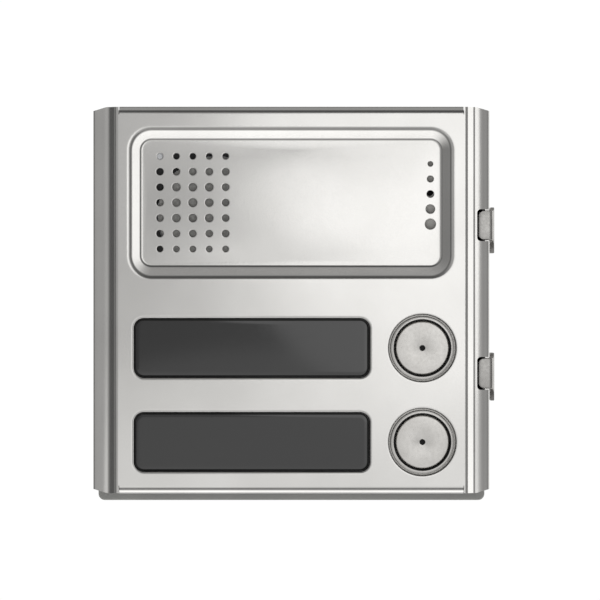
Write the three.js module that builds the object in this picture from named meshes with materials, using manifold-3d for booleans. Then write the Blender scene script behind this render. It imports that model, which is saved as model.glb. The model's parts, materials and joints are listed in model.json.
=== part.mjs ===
// Door intercom panel: a square stainless entry module with a sunken speech tray,
// two name windows and two bell buttons, on a grey rear housing.
//
// Millimetres. +Z is up, +X is to the right as a caller sees it, and the front looks towards -Y.
// The origin is the centre of the housing's flat back, where it seats in the wall box.

import * as THREE from 'three';
import { mergeVertices } from 'three/addons/utils/BufferGeometryUtils.js';
import Module from 'manifold-3d';

// ---------------------------------------------------------------- driving dimensions

const MODULE_DEPTH = 30.0;        // front of the plate to the back of the housing
const GAP = 0.3;                  // clearance between pieces that touch on the real object
const SHEET = 1.0;                // stainless sheet thickness
const HALF_HEIGHT = 48.4;         // plate, centre to top or bottom fold

// side section of the plate: flat front, bevel, rounded shoulder, straight skirt
const FRONT_HALF = 44.0;
const BEVEL_RUN = 1.9;
const BEVEL_DROP = 1.7;
const SHOULDER_RADIUS = 5.0;
const SHOULDER_SWEEP = THREE.MathUtils.degToRad(40);
const SKIRT_HALF = 49.6;          // the plate's widest, at the skirt
const SKIRT_END = 12.7;           // depth of the skirt's free edge
const FOLD_RADIUS = 1.8;          // top and bottom folds

// sunken speech tray
const TRAY = { x: -0.25, z: 24.45, width: 75.0, height: 31.9, radius: 2.8, depth: 2.4, slope: 2.5 };

// perforations: the loudspeaker grille and the microphone column, both in the tray's floor
const GRILLE = { x: -24.7, z: 24.4, columns: 5, rows: 7, pitchX: 4.11, pitchZ: 3.87 };
const GRILLE_DIAMETERS = [2.2, 2.05, 1.8, 1.55];      // by ring, from the middle hole outwards
const MIC = { x: 34.6, z: 26.55, pitch: 3.77 };
const MIC_DIAMETERS = [1.25, 1.6, 1.75, 2.25, 2.65];  // from the top hole down

// name windows and bell buttons, an upper and a lower row
const ROWS = [
  { name: 'upper', z: -12.0 },
  { name: 'lower', z: -35.5 },
];
const WINDOW = { x: -9.9, width: 59.0, height: 14.9, radius: 2.5 };
const BUTTON_X = 32.75;
const BUTTON_HOLE_R = 8.6;
const BEZEL = { outer: 8.1, inner: 7.2, flange: 10.4, proud: 0.2 };
const CAP = { radius: 6.75, chamfer: 0.35, flange: 7.9, bore: 5.4, face: 1.5, pinhole: 0.7 };
const TRAVEL = 1.2;               // how far a bell button goes in

// moulded carrier right behind the plate
const CARRIER = { halfWidth: 43.4, halfHeight: 46.9, front: 3.7, back: 8.4, radius: 2.0 };
const POST = { x: 39.0, z: 42.3, radius: 2.4, bore: 1.5, end: 27.7 };

// rear housing, with a rim that reaches a little lower than the plate
const HOUSING = { halfWidth: 43.6, halfHeight: 46.9, wall: 1.8, front: 8.7, floor: 28.0, radius: 3.0 };
const RIM = { halfWidth: 48.7, top: 47.9, bottom: -50.5, front: 14.3, back: 16.3, radius: 1.6 };

const SEAL_INSET = 0.6;           // how far the foam seal stays inside the rim and the skirt

// loudspeaker and microphone
const SPEAKER = { x: -19.0, z: 21.5, gauze: 14.5, rim: 18.0, ear: 20.0 };
const BOOT = { width: 9.0, height: 20.0, radius: 2.0 };

// boards and what the installer reaches from the back
const BOARD_HALF = { width: 41.4, height: 44.7 };
const BOARD_THICK = 1.6;
const BUTTON_BOARD_FRONT = 9.0;
const AUDIO_BOARD_FRONT = 22.5;
const TERMINAL = { x: -14.0, z: -36.0, width: 24.0, height: 11.0, poles: 4, pitch: 5.5 };
const TRIMMERS = [
  { name: 'speaker', x: 12.0, z: -36.0 },
  { name: 'microphone', x: 26.0, z: -36.0 },
];
const LINK_SOCKET = { x: 0.0, z: 36.0, width: 18.0, height: 7.0 };

// steel hooks that grip the right shoulder through its two notches
const HOOKS = [
  { name: 'upper', notchTop: 22.75, notchBottom: 14.75, top: 23.25, bottom: 11.75 },
  { name: 'lower', notchTop: -14.25, notchBottom: -22.5, top: -13.25, bottom: -25.25 },
];
const HOOK = { notchX: 46.5, legInner: 49.9, legOuter: 50.9, thick: 1.0, tabFront: 4.7, notchDepth: 6.6 };

// ---------------------------------------------------------------- finishes

const finish = (color, roughness, metalness = 0) =>
  new THREE.MeshStandardMaterial({ color, roughness, metalness });

const FINISH = {
  satinSteel: () => finish(0xc9c6c0, 0.3, 1),
  turnedSteel: () => finish(0xb9b6b0, 0.35, 1),
  springSteel: () => finish(0xa3a29d, 0.4, 1),
  smokedLens: () => finish(0x3a3a38, 0.2),
  paperCard: () => finish(0xdedbd2, 0.9),
  opalGuide: () => finish(0xeeeeea, 0.5),
  blackPlastic: () => finish(0x1b1b1c, 0.6),
  greyHousing: () => finish(0x7d7c78, 0.6),
  greyRubber: () => finish(0x8b8a86, 0.85),
  blackRubber: () => finish(0x171717, 0.9),
  greenBoard: () => finish(0x1f5a3a, 0.5),
  conePaper: () => finish(0x4c4a47, 0.9),
  zincSteel: () => finish(0xb4b3ae, 0.4, 1),
  greenTerminal: () => finish(0x2f7d4f, 0.5),
  whitePlastic: () => finish(0xe6e4de, 0.5),
  blueTrimmer: () => finish(0x2b5ea8, 0.5),
};

// ---------------------------------------------------------------- geometry helpers

const wasm = await Module();
wasm.setup();

// Y of the plane that lies this far behind the front of the plate.
const yAt = (depth) => depth - MODULE_DEPTH;

// Volume inside a triangle mesh, negative when its faces point inwards.
function signedVolume(position, index) {
  const a = new THREE.Vector3();
  const b = new THREE.Vector3();
  const c = new THREE.Vector3();
  let sum = 0;
  for (let i = 0; i < index.length; i += 3) {
    a.fromBufferAttribute(position, index[i]);
    b.fromBufferAttribute(position, index[i + 1]);
    c.fromBufferAttribute(position, index[i + 2]);
    sum += a.dot(b.cross(c)) / 6;
  }
  return sum;
}

// The same shape with shared corners, no collapsed triangles, and faces that point out.
function closed(geometry) {
  const bare = geometry.clone();
  bare.deleteAttribute('normal');
  bare.deleteAttribute('uv');
  const merged = mergeVertices(bare, 1e-4);
  const source = merged.index.array;
  const index = [];
  for (let i = 0; i < source.length; i += 3) {
    const [a, b, c] = [source[i], source[i + 1], source[i + 2]];
    if (a !== b && b !== c && c !== a) index.push(a, b, c);
  }
  if (signedVolume(merged.attributes.position, index) < 0) index.reverse();
  merged.setIndex(index);
  return merged;
}

function toSolid(geometry) {
  const shell = closed(geometry);
  return new wasm.Manifold(new wasm.Mesh({
    numProp: 3,
    vertProperties: Float32Array.from(shell.attributes.position.array),
    triVerts: Uint32Array.from(shell.index.array),
  }));
}

function fromSolid(solid) {
  const mesh = solid.getMesh();
  const geometry = new THREE.BufferGeometry();
  geometry.setAttribute('position', new THREE.BufferAttribute(mesh.vertProperties, 3));
  geometry.setIndex(new THREE.BufferAttribute(mesh.triVerts, 1));
  return geometry;
}

// One geometry joined to the others, or cut by them.
const joined = (first, ...rest) =>
  fromSolid(rest.reduce((sum, piece) => sum.add(toSolid(piece)), toSolid(first)));
const cut = (first, ...rest) =>
  fromSolid(rest.reduce((left, piece) => left.subtract(toSolid(piece)), toSolid(first)));

// A rectangle with round corners, in the plane of the front, centred on (x, z).
function roundedRect(width, height, radius, x = 0, z = 0) {
  const [w, h] = [width / 2 - radius, height / 2 - radius];
  const shape = new THREE.Shape();
  shape.absarc(x + w, z + h, radius, 0, Math.PI / 2);
  shape.absarc(x - w, z + h, radius, Math.PI / 2, Math.PI);
  shape.absarc(x - w, z - h, radius, Math.PI, Math.PI * 1.5);
  shape.absarc(x + w, z - h, radius, Math.PI * 1.5, Math.PI * 2);
  shape.closePath();
  return shape;
}

// An outline in the plane of the front, as a slab between two depths.
function slab(shape, front, back, curveSegments = 3) {
  const settings = { depth: back - front, bevelEnabled: false, curveSegments };
  return new THREE.ExtrudeGeometry(shape, settings).rotateX(Math.PI / 2).translate(0, yAt(back), 0);
}

function block(x, z, width, height, front, back) {
  return new THREE.BoxGeometry(width, back - front, height)
    .translate(x, yAt((front + back) / 2), z);
}

// A round bar along the depth.
function rod(x, z, radius, front, back, sides = 24) {
  return new THREE.CylinderGeometry(radius, radius, back - front, sides)
    .translate(x, yAt((front + back) / 2), z);
}

// A turned piece: [radius, depth] corners spun about the depth axis through (x, z).
function turned(profile, x, z, sides = 24) {
  const points = profile.map(([radius, depth]) => new THREE.Vector2(radius, yAt(depth)));
  return new THREE.LatheGeometry([...points, points[0].clone()], sides).translate(x, 0, z);
}

// A path moved sideways, to the right of its direction, keeping its corners sharp.
function offsetPath(points, distance) {
  const normals = points.slice(1).map(([x, y], i) => {
    const [dx, dy] = [x - points[i][0], y - points[i][1]];
    const length = Math.hypot(dx, dy);
    return [-dy / length, dx / length];
  });
  return points.map(([x, y], i) => {
    const before = normals[Math.max(i - 1, 0)];
    const after = normals[Math.min(i, normals.length - 1)];
    const scale = distance / (1 + before[0] * after[0] + before[1] * after[1]);
    return [x + (before[0] + after[0]) * scale, y + (before[1] + after[1]) * scale];
  });
}

// ---------------------------------------------------------------- stainless plate

// Half of the plate's section from the middle of the front to the skirt's free edge.
function plateHalfSection() {
  const points = [[0, 0], [FRONT_HALF, 0]];
  const startX = FRONT_HALF + BEVEL_RUN;
  const centreDepth = BEVEL_DROP + SHOULDER_RADIUS;
  const steps = 6;
  for (let i = 0; i <= steps; i += 1) {
    const angle = (SHOULDER_SWEEP * i) / steps;
    points.push([
      startX + SHOULDER_RADIUS * Math.sin(angle),
      centreDepth - SHOULDER_RADIUS * Math.cos(angle),
    ]);
  }
  points.push([SKIRT_HALF, points.at(-1)[1] + 0.9]);
  points.push([SKIRT_HALF, SKIRT_END]);
  return points;
}

// The whole section, mirrored and closed across the back, as a prism along Z.
function plateProfile(half, backDepth, halfHeight) {
  const right = [...half.slice(0, -1), [half.at(-1)[0], backDepth]];
  const left = right.slice(1).reverse().map(([x, depth]) => [-x, depth]);
  const outline = [...left, ...right].map(([x, depth]) => new THREE.Vector2(x, yAt(depth)));
  const settings = { depth: halfHeight * 2, bevelEnabled: false };
  return new THREE.ExtrudeGeometry(new THREE.Shape(outline), settings).translate(0, 0, -halfHeight);
}

// What the top and bottom folds leave: a rounded-front bar across the plate.
function foldProfile(halfHeight, front, radius) {
  const shape = new THREE.Shape();
  shape.moveTo(-halfHeight, yAt(SKIRT_END + 5));
  shape.lineTo(-halfHeight, yAt(front + radius));
  shape.absarc(-halfHeight + radius, yAt(front + radius), radius, Math.PI, Math.PI * 1.5);
  shape.absarc(halfHeight - radius, yAt(front + radius), radius, Math.PI * 1.5, Math.PI * 2);
  shape.lineTo(halfHeight, yAt(SKIRT_END + 5));
  shape.closePath();
  const settings = { depth: 120, bevelEnabled: false, curveSegments: 4 };
  return new THREE.ExtrudeGeometry(shape, settings).translate(0, 0, -60).rotateY(Math.PI / 2);
}

// The tray as a solid: its floor outline at `depth`, spreading out to the front.
function trayBody(grow, depth) {
  const shape = roundedRect(
    TRAY.width + 2 * grow, TRAY.height + 2 * grow, TRAY.radius + grow, TRAY.x, TRAY.z);
  const settings = {
    depth: 3, bevelEnabled: true, bevelThickness: depth, bevelSize: TRAY.slope,
    bevelSegments: 1, curveSegments: 3,
  };
  return new THREE.ExtrudeGeometry(shape, settings).rotateX(Math.PI / 2).translate(0, yAt(0), 0);
}

// A notch in the right shoulder, with its inner corners cut off.
function hookNotch({ notchTop, notchBottom }) {
  const corner = 0.7;
  const outside = FRONT_HALF + 20;
  const shape = new THREE.Shape([
    new THREE.Vector2(outside, notchTop),
    new THREE.Vector2(HOOK.notchX + corner, notchTop),
    new THREE.Vector2(HOOK.notchX, notchTop - corner),
    new THREE.Vector2(HOOK.notchX, notchBottom + corner),
    new THREE.Vector2(HOOK.notchX + corner, notchBottom),
    new THREE.Vector2(outside, notchBottom),
  ]);
  return slab(shape, -2, HOOK.notchDepth);
}

// The slanted trim at one end of a shoulder; side is -1 or 1, end is -1 or 1.
function shoulderTrim(side, end) {
  const drop = side < 0 ? 1.0 : 0.7;
  const shape = new THREE.Shape([
    new THREE.Vector2(side * 46.3, end * (HALF_HEIGHT - 0.1)),
    new THREE.Vector2(side * 50.5, end * (HALF_HEIGHT - 0.1 - drop * 1.2)),
    new THREE.Vector2(side * 50.5, end * 60),
    new THREE.Vector2(side * 46.3, end * 60),
  ]);
  return slab(shape, -2, SKIRT_END + 3);
}

function grilleHoles() {
  const holes = [];
  const [midColumn, midRow] = [(GRILLE.columns - 1) / 2, (GRILLE.rows - 1) / 2];
  for (let column = 0; column < GRILLE.columns; column += 1) {
    for (let row = 0; row < GRILLE.rows; row += 1) {
      const ring = Math.max(Math.abs(column - midColumn), Math.abs(row - midRow));
      const x = GRILLE.x + (column - midColumn) * GRILLE.pitchX;
      const z = GRILLE.z + (row - midRow) * GRILLE.pitchZ;
      holes.push(rod(x, z, GRILLE_DIAMETERS[ring] / 2, 1, 5, 10));
    }
  }
  return holes;
}

function microphoneHoles() {
  return MIC_DIAMETERS.map((diameter, i) =>
    rod(MIC.x, MIC.z + (2 - i) * MIC.pitch, diameter / 2, 1, 5, 10));
}

function fasciaGeometry() {
  const outerHalf = plateHalfSection();
  const innerHalf = offsetPath(outerHalf, SHEET);
  innerHalf[0] = [0, SHEET];
  const beyond = SKIRT_END + 4;
  const skin = toSolid(plateProfile(outerHalf, SKIRT_END, HALF_HEIGHT))
    .intersect(toSolid(foldProfile(HALF_HEIGHT, 0, FOLD_RADIUS)));
  const hollow = toSolid(plateProfile(innerHalf, beyond, HALF_HEIGHT - SHEET));
  const shoulderEnds = toSolid(plateProfile(innerHalf, beyond, HALF_HEIGHT + 5));
  const middle = toSolid(block(0, 0, 2 * (FRONT_HALF + 1.1), 120, -5, beyond + 5));
  let plate = skin.subtract(hollow).subtract(shoulderEnds.subtract(middle));
  const trayLimits = toSolid(slab(roundedRect(84, 40, 5, TRAY.x, TRAY.z), 0.4, TRAY.depth + SHEET));
  plate = plate.add(toSolid(trayBody(0.75, TRAY.depth + SHEET)).intersect(trayLimits));
  const cuts = [trayBody(0, TRAY.depth), ...grilleHoles(), ...microphoneHoles()];
  for (const row of ROWS) {
    cuts.push(slab(roundedRect(WINDOW.width, WINDOW.height, WINDOW.radius, WINDOW.x, row.z), -1, 2));
    cuts.push(rod(BUTTON_X, row.z, BUTTON_HOLE_R, -1, 2, 30));
  }
  cuts.push(...HOOKS.map(hookNotch));
  for (const side of [-1, 1]) {
    for (const end of [-1, 1]) cuts.push(shoulderTrim(side, end));
  }
  return fromSolid(cuts.reduce((left, piece) => left.subtract(toSolid(piece)), plate));
}

// ---------------------------------------------------------------- name windows

const LENS = { flangeWidth: 62.6, flangeHeight: 18.5, front: 0.8, flange: 2.1, back: 3.4 };
const POCKET = { width: 59.6, height: 16.0 };

function windowGasket(z) {
  const outline = roundedRect(LENS.flangeWidth, LENS.flangeHeight, 3.6, WINDOW.x, z);
  outline.holes.push(roundedRect(WINDOW.width + 1, WINDOW.height + 1, 2.8, WINDOW.x, z));
  return slab(outline, SHEET + GAP, LENS.flange - GAP);
}

function nameWindow(z) {
  const flange = roundedRect(LENS.flangeWidth, LENS.flangeHeight, 3.6, WINDOW.x, z);
  const pane = roundedRect(WINDOW.width - 0.7, WINDOW.height - 0.7, WINDOW.radius - 0.35, WINDOW.x, z);
  return joined(slab(flange, LENS.flange, LENS.back), slab(pane, LENS.front, LENS.flange + 0.2));
}

function nameCard(z) {
  return block(WINDOW.x, z, POCKET.width - 0.6, POCKET.height - 0.6, 3.8, 4.1);
}

// A clear bar that spreads the lamp strip's light, notched where the lamps look into it.
function lightGuide(z) {
  const bar = block(WINDOW.x, z, POCKET.width - 0.6, POCKET.height - 0.6, 4.4, 7.4);
  return cut(bar, block(WINDOW.x, z, 22, 3, 6.6, 8));
}

function lampStrip(z) {
  const lamps = [-7, 0, 7].map((shift) => block(WINDOW.x + shift, z, 3.2, 2.2, 7.3, 8.2));
  return joined(block(WINDOW.x, z, 20, 2.6, 8.1, BUTTON_BOARD_FRONT - GAP), ...lamps);
}

// ---------------------------------------------------------------- bell buttons

function buttonGasket(z) {
  const [front, back] = [SHEET + GAP, SHEET + GAP + 0.6];
  return turned([[8.9, front], [BEZEL.flange, front], [BEZEL.flange, back], [8.9, back]], BUTTON_X, z);
}

function buttonBezel(z) {
  const front = -BEZEL.proud;
  return turned([
    [BEZEL.inner, front + 0.15], [BEZEL.inner + 0.15, front], [BEZEL.outer - 0.3, front],
    [BEZEL.outer, front + 0.3], [BEZEL.outer, 2.2], [BEZEL.flange, 2.2], [BEZEL.flange, 3.2],
    [BEZEL.outer, 3.2], [BEZEL.outer, 5.5], [BEZEL.inner, 5.5],
  ], BUTTON_X, z, 30);
}

// The cap: a cup with a pinhole in its face and a flange that the bezel keeps in.
function buttonCap(z) {
  const front = -0.05;
  const flangeFront = 5.5 + GAP;
  const flangeBack = flangeFront + 0.8;
  return turned([
    [CAP.pinhole, front], [CAP.radius - CAP.chamfer, front], [CAP.radius, front + CAP.chamfer],
    [CAP.radius, flangeFront], [CAP.flange, flangeFront], [CAP.flange, flangeBack],
    [CAP.bore, flangeBack], [CAP.bore, CAP.face], [CAP.pinhole, CAP.face],
  ], BUTTON_X, z, 30);
}

// Plastic pusher inside the cap: a disc that the spring lifts, and a nose for the switch.
function buttonPlunger(z) {
  return turned([
    [0, 1.8], [5.1, 1.8], [5.1, 2.8], [1.6, 2.8], [1.6, 3.6], [0, 3.6],
  ], BUTTON_X, z, 20);
}

class Helix extends THREE.Curve {
  constructor(radius, turns, from, to, z) {
    super();
    Object.assign(this, { radius, turns, from, to, z });
  }

  getPoint(t, target = new THREE.Vector3()) {
    const angle = t * this.turns * Math.PI * 2;
    return target.set(
      BUTTON_X + this.radius * Math.cos(angle),
      yAt(this.from + (this.to - this.from) * t),
      this.z + this.radius * Math.sin(angle));
  }
}

function buttonSpring(z) {
  const wire = 0.3;
  const turns = 4;
  const path = new Helix(4.85, turns, 2.8 + GAP + wire, BUTTON_BOARD_FRONT - GAP - wire, z);
  const section = new THREE.Shape().absarc(0, 0, wire, 0, Math.PI * 2);
  const settings = { steps: turns * 10, curveSegments: 3, bevelEnabled: false, extrudePath: path };
  return new THREE.ExtrudeGeometry(section, settings);
}

function switchBody(z) {
  const body = block(BUTTON_X, z, 6, 6, 5.3, BUTTON_BOARD_FRONT - GAP);
  return cut(body, rod(BUTTON_X, z, 2.0, 5, 8.4, 16));
}

function switchSlider(z) {
  return rod(BUTTON_X, z, 1.7, 3.6 + GAP, 6.9, 16);
}

// ---------------------------------------------------------------- carrier

function carrierGeometry() {
  const plate = slab(
    roundedRect(2 * CARRIER.halfWidth, 2 * CARRIER.halfHeight, CARRIER.radius),
    CARRIER.front, CARRIER.back);
  let solid = toSolid(plate);
  const bores = [
    rod(SPEAKER.x, SPEAKER.z, SPEAKER.gauze + 0.4, 3, 9, 28),
    slab(roundedRect(BOOT.width + 0.6, BOOT.height + 0.6, BOOT.radius + 0.3, MIC.x, MIC.z), 3, 9, 4),
  ];
  for (const row of ROWS) {
    bores.push(block(WINDOW.x, row.z, POCKET.width, POCKET.height, 3, 9));
    bores.push(rod(BUTTON_X, row.z, BUTTON_HOLE_R - 0.1, 3, 9, 24));
  }
  for (const side of [-1, 1]) {
    const reach = (side * SPEAKER.ear) / Math.SQRT2;
    bores.push(rod(SPEAKER.x - reach, SPEAKER.z + reach, 2.4, 3, 5.2, 14));
    bores.push(rod(SPEAKER.x - reach, SPEAKER.z + reach, 1.3, 3, 9, 10));
  }
  solid = bores.reduce((left, bore) => left.subtract(toSolid(bore)), solid);
  for (const x of [-POST.x, POST.x]) {
    for (const z of [-POST.z, POST.z]) {
      solid = solid.add(toSolid(rod(x, z, POST.radius, CARRIER.back - 0.5, POST.end, 10)));
      solid = solid.subtract(toSolid(rod(x, z, POST.bore, 16, 29, 8)));
    }
  }
  return fromSolid(solid);
}

// ---------------------------------------------------------------- loudspeaker

const speakerPart = (profile, sides = 24) => turned(profile, SPEAKER.x, SPEAKER.z, sides);

const gauzeGeometry = () => rod(SPEAKER.x, SPEAKER.z, SPEAKER.gauze, 3.75, 4.15, 24);

const speakerGasket = () => speakerPart([[14.9, 8.7], [17.5, 8.7], [17.5, 9.5], [14.9, 9.5]]);

// Pressed basket: a rim with two ears, and a cone-shaped seat closed by the magnet's back plate.
function speakerFrame() {
  const basket = speakerPart([
    [15.0, 9.8], [SPEAKER.rim, 9.8], [SPEAKER.rim, 10.8], [15.6, 10.8], [9.0, 16.5],
    [5.0, 16.5], [5.0, 15.5], [8.5, 15.5],
  ]);
  let solid = toSolid(basket);
  for (const side of [-1, 1]) {
    const reach = (side * SPEAKER.ear) / Math.SQRT2;
    const ear = rod(SPEAKER.x - reach, SPEAKER.z + reach, 3.0, 9.8, 10.8, 16);
    solid = solid.add(toSolid(ear)).subtract(
      toSolid(rod(SPEAKER.x - reach, SPEAKER.z + reach, 1.4, 9, 12, 10)));
  }
  const opening = rod(SPEAKER.x, SPEAKER.z, 15.0, 9, 10.8, 24);
  return fromSolid(solid.subtract(toSolid(opening)));
}

const speakerCone = () => speakerPart([
  [0, 11.6], [3.6, 12.2], [4.6, 13.4], [13.2, 9.9], [14.2, 9.9], [14.2, 10.3], [4.9, 14.6],
  [3.9, 14.6], [3.2, 12.9], [0, 12.3],
]);

const speakerMagnet = () => speakerPart([[0, 16.8], [8.5, 16.8], [8.5, 20.8], [0, 20.8]], 24);

function speakerScrew(side) {
  const reach = (side * SPEAKER.ear) / Math.SQRT2;
  return turned([[0, 3.8], [2.0, 3.8], [2.0, 4.9], [1.1, 4.9], [1.1, 13.0], [0, 13.0]],
    SPEAKER.x - reach, SPEAKER.z + reach, 12);
}

// ---------------------------------------------------------------- microphone

const CAPSULE_RADIUS = 4.0;

function microphoneBoot() {
  const body = slab(roundedRect(BOOT.width, BOOT.height, BOOT.radius, MIC.x, MIC.z), 3.75, 8.4, 4);
  return cut(body, rod(MIC.x, MIC.z + 0.5, 1.0, 3, 6, 12),
    rod(MIC.x, MIC.z, CAPSULE_RADIUS + 0.15, 5.2, 9, 20));
}

const microphoneCapsule = () => rod(MIC.x, MIC.z, CAPSULE_RADIUS, 5.5, 8.3, 20);

// ---------------------------------------------------------------- boards

// A board between two heights, with its corners cut away where the carrier's posts pass.
function board(bottom, top, front) {
  const notch = 10;
  const inset = 5.2;
  const plate = block(0, (bottom + top) / 2, 2 * BOARD_HALF.width, top - bottom,
    front, front + BOARD_THICK);
  const corners = [];
  for (const side of [-1, 1]) {
    for (const end of [-1, 1]) {
      const x = side * (BOARD_HALF.width - inset + notch / 2);
      const z = end * (BOARD_HALF.height - inset + notch / 2);
      corners.push(block(x, z, notch, notch, front - 1, front + BOARD_THICK + 1));
    }
  }
  return cut(plate, ...corners);
}

const buttonBoard = () => board(-BOARD_HALF.height, 0.5, BUTTON_BOARD_FRONT);

const audioBoard = () => board(-BOARD_HALF.height, BOARD_HALF.height, AUDIO_BOARD_FRONT);

const boardLink = () => block(
  0, -4, 26, 2.6, BUTTON_BOARD_FRONT + BOARD_THICK + GAP, AUDIO_BOARD_FRONT - GAP);

// ---------------------------------------------------------------- rear housing

const rimOutline = () => roundedRect(
  2 * RIM.halfWidth, RIM.top - RIM.bottom, RIM.radius, 0, (RIM.top + RIM.bottom) / 2);

// The seal is as wide as the rim, less its inset, but ends with the plate at the bottom.
function rearSeal() {
  const [top, bottom] = [RIM.top - SEAL_INSET, SEAL_INSET - HALF_HEIGHT];
  const outline = roundedRect(
    2 * (RIM.halfWidth - SEAL_INSET), top - bottom, RIM.radius, 0, (top + bottom) / 2);
  outline.holes.push(roundedRect(2 * (HOUSING.halfWidth + 0.3), 2 * (HOUSING.halfHeight + 0.3), 3.2));
  return slab(outline, SKIRT_END + GAP, RIM.front - GAP);
}

function housingGeometry() {
  const body = slab(
    roundedRect(2 * HOUSING.halfWidth, 2 * HOUSING.halfHeight, HOUSING.radius),
    HOUSING.front, MODULE_DEPTH);
  const inside = slab(
    roundedRect(2 * (HOUSING.halfWidth - HOUSING.wall), 2 * (HOUSING.halfHeight - HOUSING.wall),
      HOUSING.radius - 1.2),
    HOUSING.front - 1, HOUSING.floor);
  let solid = toSolid(body).add(toSolid(slab(rimOutline(), RIM.front, RIM.back)));
  const cuts = [
    inside,
    block(TERMINAL.x, TERMINAL.z, TERMINAL.width + 0.8, TERMINAL.height + 0.8, 27, 31),
    block(LINK_SOCKET.x, LINK_SOCKET.z, LINK_SOCKET.width + 0.8, LINK_SOCKET.height + 0.8, 27, 31),
    ...TRIMMERS.map(({ x, z }) => rod(x, z, 3.0, 27, 31, 20)),
    ...HOOKS.map(({ notchTop, notchBottom }) =>
      rod(46.7, (notchTop + notchBottom) / 2, 1.2, 13, 18, 12)),
  ];
  for (const x of [-POST.x, POST.x]) {
    for (const z of [-POST.z, POST.z]) {
      cuts.push(rod(x, z, 1.5, 27, 31, 12), rod(x, z, 2.9, 28.9, 31, 16));
    }
  }
  solid = cuts.reduce((left, piece) => left.subtract(toSolid(piece)), solid);
  return fromSolid(solid);
}

// Pan-head screw from the back, through the housing into one of the carrier's posts.
function housingScrew(x, z) {
  return turned([[0, 18.5], [1.1, 18.5], [1.1, 29.2], [2.6, 29.2], [2.6, 29.7],
    [1.9, 29.95], [0, 29.95]], x, z, 12);
}

// ---------------------------------------------------------------- hooks

// A bent strip: a tab that lies in the notch, a leg outside the skirt, and a foot behind the rim.
function hookGeometry({ notchTop, notchBottom, top, bottom }) {
  const tabHeight = notchTop - notchBottom - 0.6;
  const middle = (notchTop + notchBottom) / 2;
  const foot = RIM.back + GAP;
  const legHeight = top - bottom;
  const legMiddle = (top + bottom) / 2;
  const leg = block((HOOK.legInner + HOOK.legOuter) / 2, legMiddle, HOOK.thick, legHeight,
    HOOK.tabFront, foot + HOOK.thick);
  const tabInner = HOOK.notchX + GAP;
  const tab = block((tabInner + HOOK.legOuter) / 2, middle, HOOK.legOuter - tabInner, tabHeight,
    HOOK.tabFront, HOOK.tabFront + HOOK.thick);
  const footInner = 44.4;
  const footPlate = block((footInner + HOOK.legOuter) / 2, middle, HOOK.legOuter - footInner,
    tabHeight, foot, foot + HOOK.thick);
  const plain = joined(leg, tab, footPlate);
  return cut(plain, rod(46.7, middle, 1.2, foot - 1, foot + 2, 12));
}

function hookScrew({ notchTop, notchBottom }) {
  const head = RIM.back + GAP + HOOK.thick + GAP;
  return turned([[0, 15.0], [0.9, 15.0], [0.9, head], [2.0, head], [2.0, head + 0.9],
    [1.4, head + 1.3], [0, head + 1.3]], 46.7, (notchTop + notchBottom) / 2, 12);
}

// ---------------------------------------------------------------- terminals and trimmers

const TERMINAL_BACK = 29.4;
const boardBack = AUDIO_BOARD_FRONT + BOARD_THICK;
const poleX = (i) => TERMINAL.x + (i - (TERMINAL.poles - 1) / 2) * TERMINAL.pitch;
const SCREW_ROW = TERMINAL.z + 2.4;

function terminalBlock() {
  const body = block(TERMINAL.x, TERMINAL.z, TERMINAL.width, TERMINAL.height,
    boardBack + GAP, TERMINAL_BACK);
  const wells = [];
  for (let i = 0; i < TERMINAL.poles; i += 1) {
    wells.push(rod(poleX(i), SCREW_ROW, 2.0, 26.2, 31, 16));
    wells.push(block(poleX(i), TERMINAL.z - 3.0, 3.0, 2.6, 26.0, 31));
  }
  return cut(body, ...wells);
}

function terminalScrew(i) {
  const screw = turned([[0, 26.5], [1.6, 26.5], [1.6, 28.6], [1.3, 28.9], [0, 28.9]],
    poleX(i), SCREW_ROW, 14);
  return cut(screw, block(poleX(i), SCREW_ROW, 4, 0.5, 28.3, 30));
}

const trimmerBody = ({ x, z }) => cut(
  block(x, z, 9, 9, boardBack + GAP, HOUSING.floor - GAP), rod(x, z, 2.6, 26.0, 30, 18));

function trimmerRotor({ x, z }) {
  const rotor = rod(x, z, 2.3, 26.3, 29.6, 18);
  return cut(rotor, block(x, z, 5, 0.7, 28.6, 31));
}

function linkSocket() {
  const body = block(LINK_SOCKET.x, LINK_SOCKET.z, LINK_SOCKET.width, LINK_SOCKET.height,
    boardBack + GAP, 29.4);
  return cut(body, block(LINK_SOCKET.x, LINK_SOCKET.z, 14.6, 3.6, 25.6, 31));
}

// ---------------------------------------------------------------- assembly

const panel = new THREE.Group();

function add(parent, name, geometry, makeMaterial) {
  const shell = closed(geometry);
  shell.computeVertexNormals();
  const mesh = new THREE.Mesh(shell, makeMaterial());
  mesh.name = name;
  parent.add(mesh);
}

function addGroup(fill) {
  const group = new THREE.Group();
  fill(group);
  panel.add(group);
}

add(panel, 'fascia', fasciaGeometry(), FINISH.satinSteel);
add(panel, 'front_carrier', carrierGeometry(), FINISH.blackPlastic);

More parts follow.
